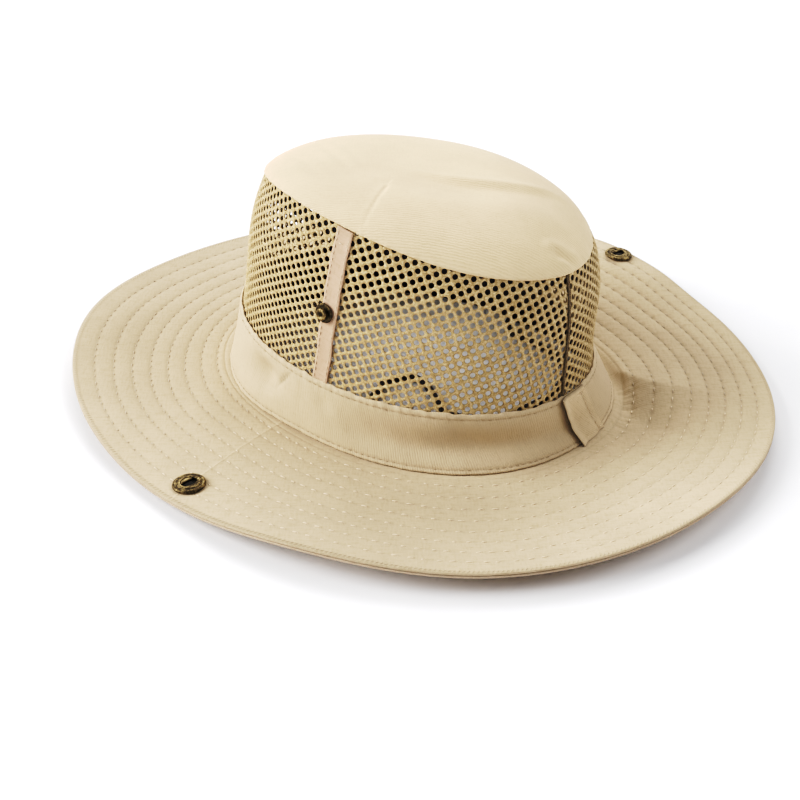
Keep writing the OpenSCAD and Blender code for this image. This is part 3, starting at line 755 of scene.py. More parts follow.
def seam_gap(th, t):
    """Millimetres round the brim from the nearer side seam; negative towards the back."""
    reach = lerp(BASE_WID / 2, BASE_WID / 2 + BRIM_W, t)
    left = -np.radians(turn_gap(th, SIDE_SEAM)) * reach
    right = np.radians(turn_gap(th, BACK_SIDE_SEAM)) * reach
    return np.where(abs(left) < abs(right), left, right)


def row_runs():
    """For each row of stitches, the distance along it from the middle of the front or back."""
    th = np.linspace(-90, 270, 2401)
    runs = []
    for row in range(1, ROWS + 1):
        run = run_along(brim_at(th, brim_share(th, float(row))))
        runs.append(np.where(th < 90, run, run - np.interp(90, th, run)))
    return th, runs


RUN_ANGLES, ROW_RUNS = row_runs()


def needle_holes(th, row):
    """1 where the thread of the nearest row goes down into the cloth, 0 halfway between."""
    nearest = np.clip(np.round(row), 1, ROWS).astype(int) - 1
    th, nearest = np.broadcast_arrays((np.asarray(th) + 90) % 360 - 90, nearest)
    holes = np.zeros(th.shape)
    for k, run in enumerate(ROW_RUNS):
        turn = np.interp(th, RUN_ANGLES, run) / BRIM_STITCH[0]
        holes = np.where(nearest == k, 0.5 + 0.5 * np.cos(2 * np.pi * turn), holes)
    return holes


def row_gap(row):
    """Distance from the nearest row of stitches, in rows."""
    return abs(row - np.clip(np.round(row), 1, ROWS))


def line_depth(th):
    """Depth of the lines of stitches: faint at the near side."""
    return around((0.12, 0.08, 0.05, 0.06, 0.14, 0.16, 0.14, 0.14, 0.14, 0.14, 0.14, 0.14), th)


def quilt(th, row):
    """Height of the quilted cloth over the brim: channels that swell between the rows of stitches."""
    swell = around((0.18, 0.16, 0.16, 0.16, 0.26, 0.36, 0.36, 0.36, 0.36, 0.24, 0.2, 0.18), th)
    between = np.sin(np.pi * np.clip(row, 0, RIM_ROW)) ** 2
    last = np.where(row > ROWS, 0.75 * smooth((row - ROWS) / 0.5), between ** 0.6)
    first = np.where(row < 1, smooth(row / 0.4) * (1 - smooth((row - 0.6) / 0.4)), last)
    groove = bell(row_gap(row), 0, 0.07)
    dent = bell(row_gap(row), 0, 0.13) * needle_holes(th, row)
    pucker = around((0.08, 0.08, 0.08, 0.1, 0.32, 0.42, 0.4, 0.3, 0.2, 0.1, 0.06, 0.06), th)
    piping = around((0.3, 0.1, 0.05, 0.1, 0.35, 0.35, 0.3, 0.3, 0.3, 0.3, 0.3, 0.3), th)
    seam = seam_gap(th, ROW_GAP * row)
    welt = 0.12 * bell(seam, 0.3, 0.6)
    gathers = 0.3 * near(th, 113, 12) * bell(row, 0.8, 0.5) * ripple(th, GATHER_TURN, 2)
    lines = line_depth(th) * groove + pucker * dent + piping * bell(row, PIPING_ROW, 0.05)
    return swell * first - lines + welt + gathers


def brim_painted_light(th, row):
    """Painted light and shade on the brim's cloth: painted shade in the stitch grooves, between the rim's
    ribs, by the piping, at the front and in the fold's hollow; a painted sheen difference makes the back
    half a little darker; a painted highlight and shade beside the side seams' welt.
    """
    # Each factor below is painted light or shade.
    grooves = 1 - 0.7 * line_depth(th) * bell(row_gap(row), 0, 0.09)
    seam = seam_gap(th, ROW_GAP * row)
    half = 1 - 0.03 * smooth(0.5 - seam)
    edge = 1 - (0.08 + 0.17 * near(th, 28, 26)) * smooth((row - RIM_ROW + 0.25) / 0.12)
    piping = 1 - 0.08 * bell(row, PIPING_ROW, 0.05)
    front = 1 - 0.08 * near(th, -90, 35) * smooth(row / 4)
    fold = 1 - 0.1 * near(th, 114, 9) * bell(row, 1.6, 1.1)
    welt = 1 + 0.07 * bell(seam, 0.3, 0.6) - 0.04 * bell(seam, -0.8, 0.5)
    return grooves * half * edge * piping * front * fold * welt


def brim_rows():
    """Rows of points across the quilted face, from the band to the rim."""
    rows = [k + s for k in range(ROWS + 1) for s in QUILT_STEPS]
    rows = sorted(rows + [PIPING_ROW + s for s in (-0.1, -0.05, 0.05, 0.1)])
    rows = [r for r in rows if r < RIM_ROW - 0.05] + [RIM_ROW - 0.03]
    return np.array([INNER_ROW, INNER_ROW / 2] + rows)


def brim_grid(columns, rows):
    """Angles, rows and points of a grid over the brim."""
    th, row = np.meshgrid(columns, rows, indexing="ij")
    return th, row, brim_at(th, brim_share(th, row))


def brim_layer(columns, layer, face):
    """Rings and tone of one brim cloth, the tone carrying painted light and shade; face is 1 if its upper
    side is quilted, or -1.
    """
    high, low = layer if face > 0 else layer[::-1]
    th, row, quilted = brim_grid(columns, brim_rows())
    quilted[..., 2] += high + face * quilt(th, row)
    tone = brim_painted_light(th, row)
    hidden_rows = np.concatenate([[RIM_ROW - 0.03], np.arange(8.8, 0.1, -0.3), [INNER_ROW]])
    _, row, hidden = brim_grid(columns, hidden_rows)
    sewn = lerp(low, PRESSED, 0.9)
    hidden[..., 2] += lerp(low, sewn, smooth((row - RIM_ROW + 0.3) / 0.25))
    k = np.array([0.15, 0.5, 0.85])
    out = unit((rim_ring(columns) - base_ring(columns))[:, None, :2])
    edge = brim_at(columns[:, None], np.ones(len(k)))
    edge[..., :2] += out * (0.1 + 0.3 * np.sin(np.pi * k))[:, None]
    edge[..., 2] += lerp(high + face * 0.2, sewn, k)
    rings = np.concatenate([quilted, edge, hidden], 1)
    # The rolled rim edge is painted a little darker and the hidden inner face darker still: painted shade.
    tone = np.concatenate([tone, np.full(edge.shape[:2], 0.92), np.full(hidden.shape[:2], 0.9)], 1)
    return rings[:, ::face], tone[:, ::face]


def fold_blend(piece):
    """Bakes the placement of a piece of the brim into its points."""
    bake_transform(piece)


def brim_stitch_lines(columns, layer, face):
    lines = []
    fine = np.linspace(columns[0], columns[-1], 900)
    for row in range(1, ROWS + 1):
        rows = np.full(fine.shape, float(row))
        line = brim_at(fine, brim_share(fine, rows))
        line[:, 2] += (layer[0] if face > 0 else layer[1]) + face * quilt(fine, rows)
        lines.append((line, np.tile((0.0, 0.0, float(face)), (len(line), 1))))
    return lines


RIB_PITCH, RIB_REACH, RIB_SINK = 2.1, 2.2, 0.1


def rim_rib_lines(columns):
    """The slanting ribs of the twill where the upper cloth turns over the rim."""
    fine = np.linspace(columns[0], columns[-1], 1200)
    run = run_along(brim_at(fine, 1.0))
    th = np.interp(np.arange(RIB_PITCH, run[-1] - RIB_PITCH, RIB_PITCH), run, fine)
    slant = np.interp(np.interp(th, fine, run) + RIB_PITCH, run, fine)
    inner_row = np.full(th.shape, RIM_ROW * (1 - RIB_REACH / BRIM_W))
    inner = brim_at(slant, brim_share(slant, inner_row))
    inner[:, 2] += quilt(slant, inner_row) - RIB_SINK
    outer = brim_at(th, 1.0) - (0, 0, RIB_SINK)
    up = np.tile((0.0, 0.0, 1.0), (2, 1))
    return [(np.stack(ends), up) for ends in zip(inner, outer)]


def brim_thread_painted_shade(points):
    """The brim's thread is painted pale at the near side, and painted darker at the front and the far side:
    painted shade over the rows there.
    """
    th = np.degrees(np.arctan2(points[:, 1], points[:, 0]))
    front = smooth((-th - 4) / 10) + smooth((th - 178) / 10)
    far = smooth((th - 114) / 10)
    return 1 - 0.35 * np.clip(front + far, 0, 1)


def add_brim_cloth(side, columns, level, layer, face, material):
    cloth_name = f"{side}_brim_{level}"
    rings, tone = brim_layer(columns, layer, face)
    cloth = skin(cloth_name, rings, material, tone=tone, plan=True, sharp=75)
    starts = (side + "_flap", "brim")
    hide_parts(*[f"{start}_{level}_{half}" for start in starts for half in ("front", "back")])
    lines = brim_stitch_lines(columns, layer, face)
    # The brim's stitches take painted shade at the front and the far side.
    sewn_on = [stitches(cloth_name + "_stitches", lines, BRIM_STITCH, pale_thread, 1.0, brim_thread_painted_shade)]
    if face > 0:
        sewn_on.append(stitches(side + "_rim_ribs", rim_rib_lines(columns), RIM_RIB, rim_thread))
    for piece in [cloth] + sewn_on:
        fold_blend(piece)


def add_brim(side, first, last):
    columns = brim_columns(first, last)
    add_brim_cloth(side, columns, "upper", UPPER, 1, khaki_brim)
    add_brim_cloth(side, columns, "under", UNDER, -1, khaki_under)
    rows = np.concatenate([[RIM_ROW - 0.1], np.arange(8.7, -0.1, -0.3)])
    top = brim_grid(np.linspace(first, last, CORE_COLUMNS), rows)[2]
    rings = np.concatenate([top + (0, 0, MIDDLE[0]), top[:, ::-1] + (0, 0, MIDDLE[1])], 1)
    core = skin(f"{side}_brim_core", rings[:, ::-1], interlining, plan=True, sharp=40)
    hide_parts(side + "_flap_interlining", "brim_interlining")
    fold_blend(core)


# Crown

def crown_angles(n):
    return np.linspace(0, 360, n, endpoint=False) - 90


def add_tip():
    th = crown_angles(480)
    outer = np.concatenate([np.linspace(0.01, 0.8, 60), np.linspace(0.81, 1, 22)])
    pucker = 0.16 * ripple(th, 5.1, 2)
    rings = [tip_at(th, r, (pucker - 0.5) * smooth((r - 0.95) / 0.05)) for r in outer]
    for drop, off in ((0.35, -0.45), (0.75, -0.55), (0.95, -0.9), (0.8, -1.2)):
        ring = tip_at(th, 1.0, off + pucker)
        ring[:, 2] -= drop
        rings.append(ring)
    rings += [tip_at(th, r, -1.2) for r in np.linspace(0.985, 0.01, 18)]
    rings = np.stack(rings)[:, ::-1]
    x, y = rings[..., 0], rings[..., 1]
    # Painted shade on the tip's left end and painted light on its right side.
    tone = 1 - 0.08 * bell(np.hypot(x - 62, y + 15), 0, 38) + 0.03 * bell(np.hypot(x + 37, y - 3), 0, 35)
    tip = skin("tip_cloth", rings, khaki_tip, plan=True, tone=tone)
    in_frame(tip, "crown_tip")


def add_tip_tape():
    th = crown_angles(180)
    off = MESH_OUT - MESH_T - 0.2
    profile = ((0.9, off), (0.92, off + 0.05), (0.95, off + 0.05), (0.97, off), (0.97, off - 0.55),
               (0.95, off - 0.62), (0.92, off - 0.62), (0.9, off - 0.55))
    rings = np.stack([mesh_at(th, v, o) for v, o in profile], 1)
    # The dark tape cloth here stands in for the shade under the tip's seam: painted shade.
    tape = skin("tip_tape", rings[:, ::-1], tab_cloth, wrap=True, sharp=50)
    in_frame(tape, "tip_seam_tape")


# The net: a square lattice laid on the wall as it would be flat, with its cut edge at the back

NET_PITCH, NET_HOLE_R, NET_TURN = 4.0, 1.28, 39
NET_CONE_R, NET_MIDDLE = 800, 36
NET_BELOW = 3
CELL_SIDES, NET_LEAST_FACE = 12, 0.004
# Rings of points down each hole: radius beyond the hole's, depth, and tone, which is painted shade down the
# hole
HOLE_RINGS = ((0.3, 0.12, 1), (0.06, 0.3, 0.75), (0.06, 0.6, 0.6), (0.3, MESH_T - 0.12, 0.7))


def net_run():
    """Angles round the wall from the front, with their distance along the middle of the net."""
    th = np.linspace(-90, 90, 721)
    left, right = [run_along(mesh_at(-90 + way * (th + 90), 0.45, MESH_OUT)) for way in (1, -1)]
    run = np.concatenate([-right[:0:-1], left])
    angle = np.concatenate([-90 - (th[:0:-1] + 90), th])
    return run, angle


NET_RUN, NET_ANGLE = net_run()


def net_place(flat):
    """For points of the flat net: their run and angle round the wall, their height and the wall's."""
    rho = np.hypot(flat[:, 0], NET_CONE_R - flat[:, 1])
    run = np.arctan2(flat[:, 0], NET_CONE_R - flat[:, 1]) * NET_CONE_R
    th = np.interp(run, NET_RUN, NET_ANGLE)
    tall = np.linalg.norm(tip_ring(th) - band_ring(th), axis=-1)
    return run, th, NET_CONE_R - rho + NET_MIDDLE, tall


def net_point(flat, depth):
    """A point of the flat net on the wall, at a depth below the net's outer face."""
    _, th, height, tall = net_place(flat)
    height = np.clip(height, -NET_BELOW, tall)
    off = MESH_OUT - depth
    above = mesh_at(th, np.maximum(height / tall, 0), off)
    below = band_at(th, 1 + np.minimum(height, 0) / (BAND_TOP_Z - BRIM_Z), off)
    return np.where((height < 0)[:, None], below, above)


def net_inside(flat):
    """Whether points of the flat net lie on the wall, or a little beyond its edges."""
    run, _, height, tall = net_place(flat)
    reach = 0.35 * NET_PITCH
    seam = (run > NET_RUN[0] - reach) & (run < NET_RUN[-1] + reach)
    return seam & (height > -NET_BELOW - reach) & (height < tall + reach)


def net_cells():
    """Middles of the net's cells, in steps of the lattice."""
    n = int(NET_RUN[-1] / NET_PITCH * 1.3)
    i, j = np.meshgrid(np.arange(-n, n), np.arange(-n, n), indexing="ij")
    cells = np.stack([i.ravel(), j.ravel()], 1)
    return cells[net_inside(net_flat(cells))]


def net_flat(steps):
    """Millimetres on the flat net for steps of its turned lattice."""
    a = math.radians(NET_TURN)
    turn = np.array([[math.cos(a), math.sin(a)], [-math.sin(a), math.cos(a)]])
    return NET_PITCH * np.asarray(steps, float) @ turn


def net_cell():
    """Corners of one cell in sixths of the lattice, and the same corners on a circle of radius 1."""
    thirds = np.array([-3, -1, 1])
    one = np.full(3, 3)
    square = np.concatenate([
        np.stack([one, thirds], 1), np.stack([-thirds, one], 1),
        np.stack([-one, -thirds], 1), np.stack([thirds, -one], 1)])
    angle = np.arctan2(square[:, 1], square[:, 0])
    return square, np.stack([np.cos(angle), np.sin(angle)], 1)


def net_faces(index, rings, below):
    """Faces round each hole, from the outer side through its rings to the inner, and the cut edge."""
    layers = [index] + rings + [below + index]
    faces = []
    for outer, inner in zip(layers, layers[1:]):
        around_cell = np.stack([outer, np.roll(outer, -1, 1), np.roll(inner, -1, 1), inner], -1)
        faces.append(around_cell.reshape(-1, 4))
    sides = np.stack([index, np.roll(index, -1, 1)], -1).reshape(-1, 2)
    _, which, times = np.unique(np.sort(sides, 1), axis=0, return_inverse=True, return_counts=True)
    border = sides[times[which.ravel()] == 1]
    faces.append(np.column_stack([border[:, ::-1], below + border]))
    return np.concatenate(faces)


def add_net():
    cells = net_cells()
    square, circle = net_cell()
    corners = (cells[:, None] * 6 + square[None]).reshape(-1, 2)
    keys, index = np.unique(corners, axis=0, return_inverse=True)
    index = index.reshape(len(cells), CELL_SIDES)
    crossing = bell(np.linalg.norm((keys - 3) % 6 - 3 * ((keys - 3) % 6 > 3), axis=1), 0, 2)
    points = [net_point(net_flat(keys / 6), 0.06 - 0.12 * crossing),
              net_point(net_flat(keys / 6), MESH_T - 0.06 + 0.1 * crossing)]
    n, m = len(keys), index.size
    # Painted light on the net's outer face and painted shade on its inner face and down its holes.
    tone = [np.full(n, 1.08), np.full(n, 0.8)]
    for radius, depth, shade in HOLE_RINGS:
        spots = (cells[:, None] + circle[None] * (NET_HOLE_R + radius) / NET_PITCH).reshape(-1, 2)
        points.append(net_point(net_flat(spots), depth))
        tone.append(np.full(m, shade))
    points, tone = np.concatenate(points), np.concatenate(tone)
    hole = np.arange(m).reshape(index.shape)
    faces = net_faces(index, [2 * n + r * m + hole for r in range(len(HOLE_RINGS))], n)
    corner = points[faces]
    size = np.linalg.norm(np.cross(corner[:, 2] - corner[:, 0], corner[:, 3] - corner[:, 1]), axis=1) / 2
    faces = faces[size > NET_LEAST_FACE]
    hole_flat = net_flat((cells[:, None] + circle[None] * 0.3).reshape(-1, 2))
    flat = np.concatenate([net_flat(keys / 6)] * 2 + [hole_flat] * len(HOLE_RINGS))
    used = np.unique(faces)
    remap = np.zeros(len(points), int)
    remap[used] = np.arange(len(used))
    net = new_piece("net_wall", points[used], remap[faces].tolist(), net_yarn,
                    flat[faces].reshape(-1, 2), tone[used])
    in_frame(net, "mesh_wall")


# Strips of tape on the net

STRIP_TOP = 0.985


def strip_rings(ends, width, off, thick, rows):
    """Rings of points along a strip, with its folded edges a little thicker than its middle."""
    half = np.degrees(width / BAND_WID)
    across = np.array([-1, -0.97, -0.85, -0.6, 0, 0.6, 0.85, 0.97, 1])
    lift = np.array([0.5, 0.9, 1.05, 0.85, 0.78, 0.85, 1.05, 0.9, 0.5]) * thick
    under = np.array([0.75, 0, -0.75])
    rings = []
    for k in np.linspace(0, 1, rows):
        v, middle = STRIP_TOP * k, lerp(ends[0], ends[1], k)
        wander = 0.05 * half * ripple(k * 70, 23, middle)
        face = mesh_at(middle + wander + half * across, v, off + lift + 0.08 * ripple(k * 70, 9, 1))
        back = mesh_at(middle + wander + half * under, v, off)
        rings.append(np.concatenate([face, back]))
    return np.stack(rings)


def add_strip(name, ends, node):
    off = MESH_OUT + 0.15
    strip = skin(name, strip_rings(ends, STRIP_W, off, 0.95, 60)[:, ::-1], khaki_tape)
    in_frame(strip, node)
    half = np.degrees(STRIP_W / BAND_WID)
    lines = []
    k = np.linspace(0.01, 0.97, 120)
    for edge in (-0.74, 0.74):
        th = lerp(ends[0], ends[1], k) + half * edge
        lines.append(facing(mesh_at(th, STRIP_TOP * k, off + 0.92)))
    th = np.linspace(ends[1] - half * 0.6, ends[1] + half * 0.6, 30)
    lines.append(facing(mesh_at(th, 0.9, off + 0.85)))
    in_frame(stitches(name + "_stitches", lines, STRIP_STITCH, pale_thread))


def add_back_seam():
    off = MESH_OUT + 0.1
    rings = strip_rings((90, 90), 1.4, off, 0.7, 50)[:, ::-1]
    # The seam strip is the net's yarn painted dark: a painted shadow where the panels meet.
    in_frame(skin("back_seam", rings, net_yarn, tone=0.3), "mesh_back_seam")
    line = mesh_at(90.0, STRIP_TOP * np.linspace(0.01, 0.97, 120), off + 0.6)
    in_frame(stitches("back_seam_stitches", [facing(line)], SEAM_STITCH, tan_thread))


# Hat band, its lap and the sweatband

BAND_EDGE, BAND_T = 0.08, 1.15
BAND_ROWS = (0.0, 0.012, 0.025, 0.045, 0.06, 0.075, 0.085, 0.1, 0.13, 0.18, 0.24, 0.3, 0.36, 0.42, 0.48,
             0.54, 0.6, 0.66, 0.72, 0.78, 0.83, 0.87, 0.9, 0.915, 0.925, 0.94, 0.96, 0.985)


def band_face(th, v):
    """How far the band's face stands out: puckered edges, and grooves where it is stitched."""
    pucker = 0.22 * ripple(th, 4.3, 1) * (bell(v, 1, 0.12) + 0.7 * bell(v, 0, 0.12))
    grooves = -0.28 * (bell(v, BAND_EDGE, 0.018) + bell(v, 1 - BAND_EDGE, 0.018))
    hems = 0.35 * bell(v, 0.035, 0.03) + 0.2 * bell(v, 0.96, 0.04)
    undercut = -0.9 * bell(v, 0, 0.012)
    return pucker + grooves + hems + undercut


def band_painted_shade(th, v):
    # Painted shade in the stitch grooves, the dent and the crease, and a painted shadow line along the
    # band's foot.
    grooves = 1 - 0.1 * (bell(v, BAND_EDGE, 0.015) + bell(v, 1 - BAND_EDGE, 0.015))
    folds = 1 - 0.07 * band_dent(th, v) - 0.35 * band_crease(th, v)
    return folds * grooves * (1 - 0.6 * bell(v, 0, 0.012))


def band_rings(th):
    """Rings of points over the band's face, its top edge and its back, with their tone: painted shade on
    the face and over the back.
    """
    rings = [band_at(th, v, band_face(th, v)) for v in BAND_ROWS]
    tones = [band_painted_shade(th, v) for v in BAND_ROWS]
    for k in np.linspace(0.1, 0.9, 5):
        v = 1 + 0.022 * math.sin(math.pi * k) + 0.012 * ripple(th, 6.1, 4)
        rings.append(band_at(th, v, band_face(th, 1.0) * (1 - k) - BAND_T * k))
        tones.append(np.ones(len(th)))
    for v in np.linspace(0.97, 0, 14):
        rings.append(band_at(th, v, -BAND_T))
        # The band's back is painted darker: painted shade.
        tones.append(np.full(len(th), 0.85))
    return np.stack(rings, 1)[:, ::-1], np.stack(tones, 1)[:, ::-1]


def band_stitch_lines(th, out, lean=0.0):
    lines = []
    for v in (BAND_EDGE, 1 - BAND_EDGE):
        line = band_at(th + lean * (1 - v), v, out + band_face(th, v))
        lines.append((line, unit(line * (1, 1, 0) + (0, 0, 12.0))))
    return lines


def add_band():
    rings, tone = band_rings(crown_angles(720))
    band = skin("band_cloth", rings, khaki_band, wrap=True, tone=tone)
    in_frame(band, "hat_band")
    lines = band_stitch_lines(np.linspace(LAP[1] + 4, LAP[0] + 360 - 1, 1200), 0)
    seams = stitches("band_stitches", lines, BAND_STITCH, band_thread, 0.6)
    in_frame(seams)


LAP_SEAM, LAP_PINCH = 0.8, 0.35


def lap_angle(share, v):
    """The angle of a place on the lap, whose free edge is bowed."""
    bow = -0.5 * (1 - share) * math.sin(math.pi * min(v, 1))
    return lerp(LAP[0], LAP[1], share) + LAP_LEAN * (1 - v) + bow


def lap_rings():
    """Rings of points over the lap's face and its back, with their tone of painted light and shade; its
    free edge stands off.
    """
    rows = [0.02] + [v for v in BAND_ROWS if v > 0.03]
    back = ((1.04, 0.4), (1.03, 0.9), (0.6, 0.9), (0.3, 0.9), (0.03, 0.9))
    rings, tones = [], []
    for share in np.linspace(0, 1, 22):
        lift = 1.1 + 1.7 * bell(share, 0, 0.16)
        swell = lift + 0.25 * bell(share, 0.45, 0.2)
        part = []
        for v in rows:
            th = lap_angle(share, v)
            pinch = -LAP_PINCH * bell(share, LAP_SEAM, 0.09) * (1 + 0.6 * math.sin(v * 50))
            part.append(band_at(th, v, swell + pinch + 0.4 * band_face(np.array(th), v)))
        part += [band_at(lap_angle(share, v), v, lift - depth) for v, depth in back]
        # Painted light over the lap's face, painted shade along its seam and under its free edge, and a
        # painted dark back.
        tone = 1.06 - 0.08 * bell(share, LAP_SEAM, 0.06) - 0.25 * bell(share, 0, 0.02)
        rings.append(np.stack(part))
        tones.append([tone] * len(rows) + [0.45] * len(back))
    return np.stack(rings)[:, ::-1], np.array(tones)[:, ::-1]


def add_lap():
    rings, tone = lap_rings()
    lap = skin("lap_cloth", rings, khaki_lap, tone=tone, sharp=60)
    in_frame(lap, "band_lap")
    th = np.linspace(LAP[0] + 1, LAP[1] - 0.3, 60)
    lines = band_stitch_lines(th, 1.25, LAP_LEAN)
    v = np.linspace(0.06, 0.97, 60)
    down = band_at(lerp(LAP[0], LAP[1], LAP_SEAM) + LAP_LEAN * (1 - v), v, 0.95)
    lines.append(facing(down))
    in_frame(stitches("lap_stitches", lines, LAP_STITCH, pale_thread, 0.6))


SWEAT_OUT, SWEAT_T, SWEAT_HIGH = -2.5, 0.9, 0.93


def add_sweatband():
    th = crown_angles(360)
    rings = []
    for side, off in ((1, SWEAT_OUT), (-1, SWEAT_OUT - SWEAT_T)):
        part = [raised(base_ring(th, off)[:, :2], z) for z in (0.15, 2.0, 4.0)]
        for v in (*np.linspace(0, 0.85, 12), SWEAT_HIGH - 0.03, SWEAT_HIGH):
            rib = 0.12 * ripple(th, 7, 3) if side < 0 else 0
            part.append(band_at(th, v, off - rib * bell(v, 0.5, 0.4)))
        rings += part if side > 0 else part[::-1]
    sweat = skin("sweatband_cloth", np.stack(rings, 1)[:, ::-1], sweat_cloth, wrap=True, sharp=60)
    in_frame(sweat, "sweatband")
    fine = np.linspace(-90, 269, 900)
    lines = [facing(band_at(fine, v, SWEAT_OUT - SWEAT_T - 0.08), -1) for v in (0.12, SWEAT_HIGH - 0.09)]
    seams = stitches("sweatband_stitches", lines, SWEAT_STITCH, dark_thread)
    in_frame(seams)


# Snaps

SNAP_SEAT = 0.2


def brim_place(snap):
    """The frame of a snap on the soft brim: Z out of the cloth, Y away from the crown."""
    share, th = snap

    def cloth(th, t):
        p = lerp(base_ring(np.array(th)), rim_ring(np.array(th)), t)
        return p + (0, 0, brim_soft(th, t))

    step = 0.2
    here = cloth(th, share)
    outward = cloth(th, share + step / BRIM_W) - here
    up = unit(np.cross(outward, cloth(th + step, share) - here))
    y = unit(outward - (outward @ up) * up)
    axes = Matrix((np.cross(y, up), y, up)).transposed().to_4x4()
    return Matrix.Translation(Vector(here + SNAP_SEAT * up)) @ axes


def wall_place(stud):
    share, th = stud
    step = 0.2
    here = mesh_at(th, share, 0.0)
    out = unit(np.cross(mesh_at(th + step, share) - here, mesh_at(th, share + step / 100) - here))
    return standing(mesh_at(th, share, MESH_OUT) + STUD_OFF * out, out)


def add_metal(name, outline, sides, place, node, body, caps=True):
    """A turned piece of brass from an outline of radii, heights and tones."""
    outline = np.array(outline, float)
    rings = placed(lathe(outline[:, :2], sides), place)
    piece = skin(name, rings, brass, caps=caps, tone=outline[:, 2:], sharp=35)
    in_frame(piece, node, body)


MOUTH_R, SLOT_HALF = 3.9, 2.1


def add_socket(side, place, body):
    """A ring with a rolled rim and a dished face: radius, height and tone of its outline."""
    r = SOCKET_R
    face = ((2.5, 0.2, 0.3), (r - 0.5, 0.2, 0.6), (r - 0.15, 0.35, 0.8), (r, 0.75, 0.9),
            (r - 0.1, 1.15, 1), (r - 0.4, 1.5, 1.05), (r - 0.9, 1.78, 1.1), (r - 1.3, 1.86, 1.1),
            (r - 1.6, 1.8, 0.9), (r - 1.85, 1.68, 0.6), (r - 2.1, 1.66, 0.6), (r - 2.3, 1.78, 0.9),
            (r - 2.6, 2.02, 1.15), (r - 2.95, 2.12, 1.2), (MOUTH_R + 0.45, 2.1, 1.1),
            (MOUTH_R + 0.15, 1.98, 0.8), (MOUTH_R, 1.75, 0.3), (MOUTH_R, 0.75, 0.1), (2.5, 0.72, 0.06))
    add_metal(side + "_socket", (face + face[:1])[::-1], 72, place, side + "_snap_socket", body, caps=False)


def add_socket_wires(side, place, body):
    """Two bowed spring wires across the mouth of a socket."""
    y = np.linspace(-3.2, 3.2, 17)
    outer = np.sqrt((MOUTH_R - 0.02) ** 2 - y ** 2)
    inner = np.minimum(SLOT_HALF * np.sqrt(1 - (y / 4.6) ** 2), outer - 0.05)
    profile = ((0.3, 0.95), (0, 1.2), (0.06, 1.42), (0.25, 1.6), (0.6, 1.66), (1, 1.72), (1, 1.0))
    bar = np.stack([np.stack([lerp(inner, outer, k), y, np.full(y.shape, z)], -1) for k, z in profile], 1)
    faces, _ = swept(bar)
    bar = bar.reshape(-1, 3)
    points = np.concatenate([placed(bar * (way, 1, 1), place) for way in (1, -1)])
    first = [f[::-1] for f in faces]
    second = [[k + len(bar) for k in f] for f in faces]
    wires = new_piece(side + "_socket_wires", points, first + second, brass, sharp=40)
    in_frame(wires, side + "_snap_spring", body)


def add_cap(side, place, body):
    """The cap below the brim, whose post goes up into the socket."""
    low = -2.5
    cap = ((0.02, 0.72, 0.06), (2.3, 0.72, 0.06), (2.4, 0.6, 0.06), (2.4, low - 0.6, 0.5),
           (6.3, low - 0.6, 0.8), (6.5, low - 0.75, 0.9), (6.45, low - 0.95, 1), (6.1, low - 1.2, 1.1),
           (5.2, low - 1.5, 1.1), (4.2, low - 1.62, 1.1), (2.2, low - 1.7, 1), (0.02, low - 1.7, 1))
    add_metal(side + "_cap", cap, 64, place, side + "_snap_cap", body)


def add_snap(side, snap):
    place = brim_place(snap)
    for add in (add_socket, add_socket_wires, add_cap):
        add(side, place, side + "_flap")


def add_stud(side, stud):
    """A stud on the wall and the eyelet behind it: radius, height and tone of their outlines."""
    place = wall_place(stud)
    low = -STUD_DEPTH
    form = ((0.02, low, 0.6), (1.9, low, 0.6), (1.9, 0, 0.6), (4.8, 0, 0.6), (5, 0.15, 0.8), (5, 0.4, 0.9),
            (4.85, 0.62, 0.9), (4.4, 0.78, 0.8), (3.4, 0.72, 0.45), (2.85, 0.8, 0.35), (2.7, 1.0, 0.3),
            (2.7, 1.2, 0.35), (2.9, 1.4, 0.6), (3, 1.7, 0.9), (3, 2.4, 1.3), (2.9, 2.7, 1.5),
            (2.6, 2.95, 1.6), (2.1, 3.05, 1.6), (1.5, 3.0, 1.2), (1.1, 2.7, 0.7), (0.9, 2.45, 0.4),
            (0.02, 2.4, 0.35))
    add_metal(side + "_stud", form, 48, place, side + "_snap_stud", "hat")
    ring = ((2.0, low, 1), (4.1, low, 1), (4.4, low + 0.15, 1), (4.4, low + 0.45, 1), (4.2, low + 0.6, 1),
            (2.9, low + 0.6, 1), (2.0, low + 0.5, 1))
    add_metal(side + "_eyelet", ring + ring[:1], 48, place, side + "_stud_eyelet", "hat", caps=False)


# Stage

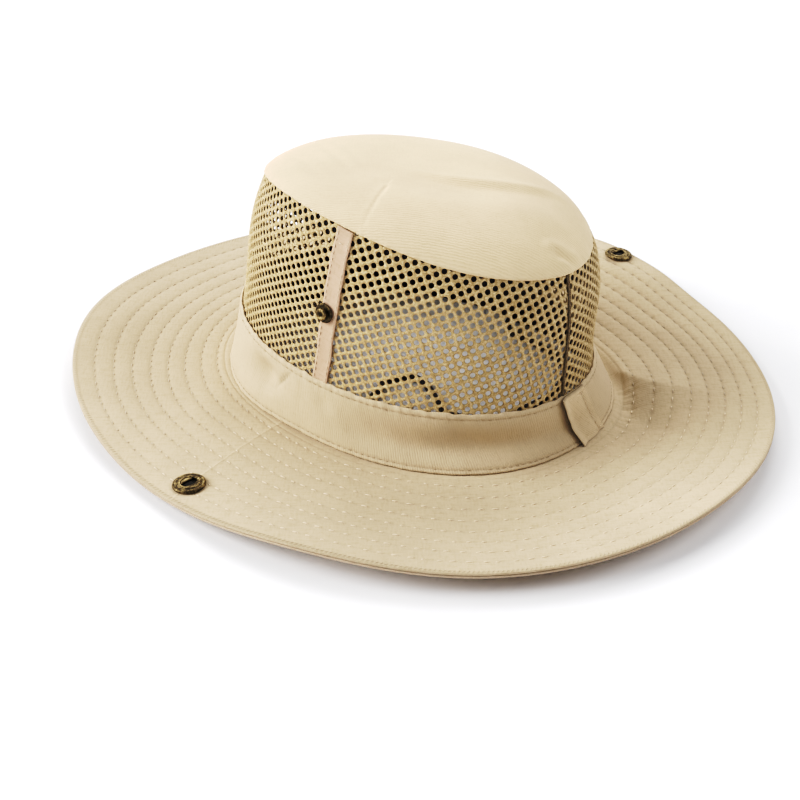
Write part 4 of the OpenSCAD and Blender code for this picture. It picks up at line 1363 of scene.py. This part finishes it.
# Soft lights: direction round the hat and height in degrees, and strength
LIGHTS = {"key": (-45, 30, 0.975), "back": (-135, 45, 0.435), "fill": (135, 45, 0.27)}
LIGHT_SPREAD, SKY_STRENGTH = 42, 0.225
FLOOR_HALF = 40
# Contrast of the photograph: light in the scene, and light in the picture
TONES = ((0.069, 0.038), (0.138, 0.138), (0.207, 0.265), (0.276, 0.39), (0.397, 0.57), (0.624, 0.767),
         (0.862, 0.9))


def add_stage():
    mesh = bpy.data.meshes.new("floor")
    corners = [(x * FLOOR_HALF, y * FLOOR_HALF, 0) for x, y in ((-1, -1), (1, -1), (1, 1), (-1, 1))]
    mesh.from_pydata(corners, [], [(0, 1, 2, 3)])
    mesh.materials.append(floor_paper)
    new_object("floor", mesh)


def add_lights():
    for name, (turn, height, strength) in LIGHTS.items():
        data = bpy.data.lights.new(name, "SUN")
        data.energy = math.pi * strength
        data.angle = math.radians(LIGHT_SPREAD)
        light = new_object(name, data)
        light.rotation_euler = (0, math.radians(90 - height), math.radians(turn))
    world = bpy.data.worlds.new("studio")
    world.use_nodes = True
    sky = world.node_tree.nodes["Background"]
    sky.inputs["Color"].default_value = (1.0, 1.0, 1.0, 1)
    sky.inputs["Strength"].default_value = SKY_STRENGTH
    bpy.context.scene.world = world


def set_contrast():
    view = bpy.context.scene.view_settings
    view.view_transform = "Standard"
    view.use_curve_mapping = True
    curve = view.curve_mapping.curves[3]
    for light, picture in TONES:
        curve.points.new(light, picture)
    view.curve_mapping.update()


add_camera()
add_cord()
add_cord_tab("left_tab", CORD_ROUTE[0], 1, "left_cord_tab")
add_cord_tab("right_tab", CORD_ROUTE[-1], -1, "right_cord_tab")
finish_lock()
add_brim("left", -90, 90)
add_brim("right", 90, 270)
add_tip()
add_tip_tape()
add_net()
add_strip("left_strip", LEFT_STRIP, "left_side_strip")
add_strip("right_strip", RIGHT_STRIP, "right_side_strip")
add_back_seam()
add_band()
add_lap()
add_sweatband()
add_snap("left", LEFT_SNAP)
add_snap("right", RIGHT_SNAP)
add_stud("left", LEFT_STUD)
add_stud("right", RIGHT_STUD)
add_stage()
add_lights()
set_contrast()
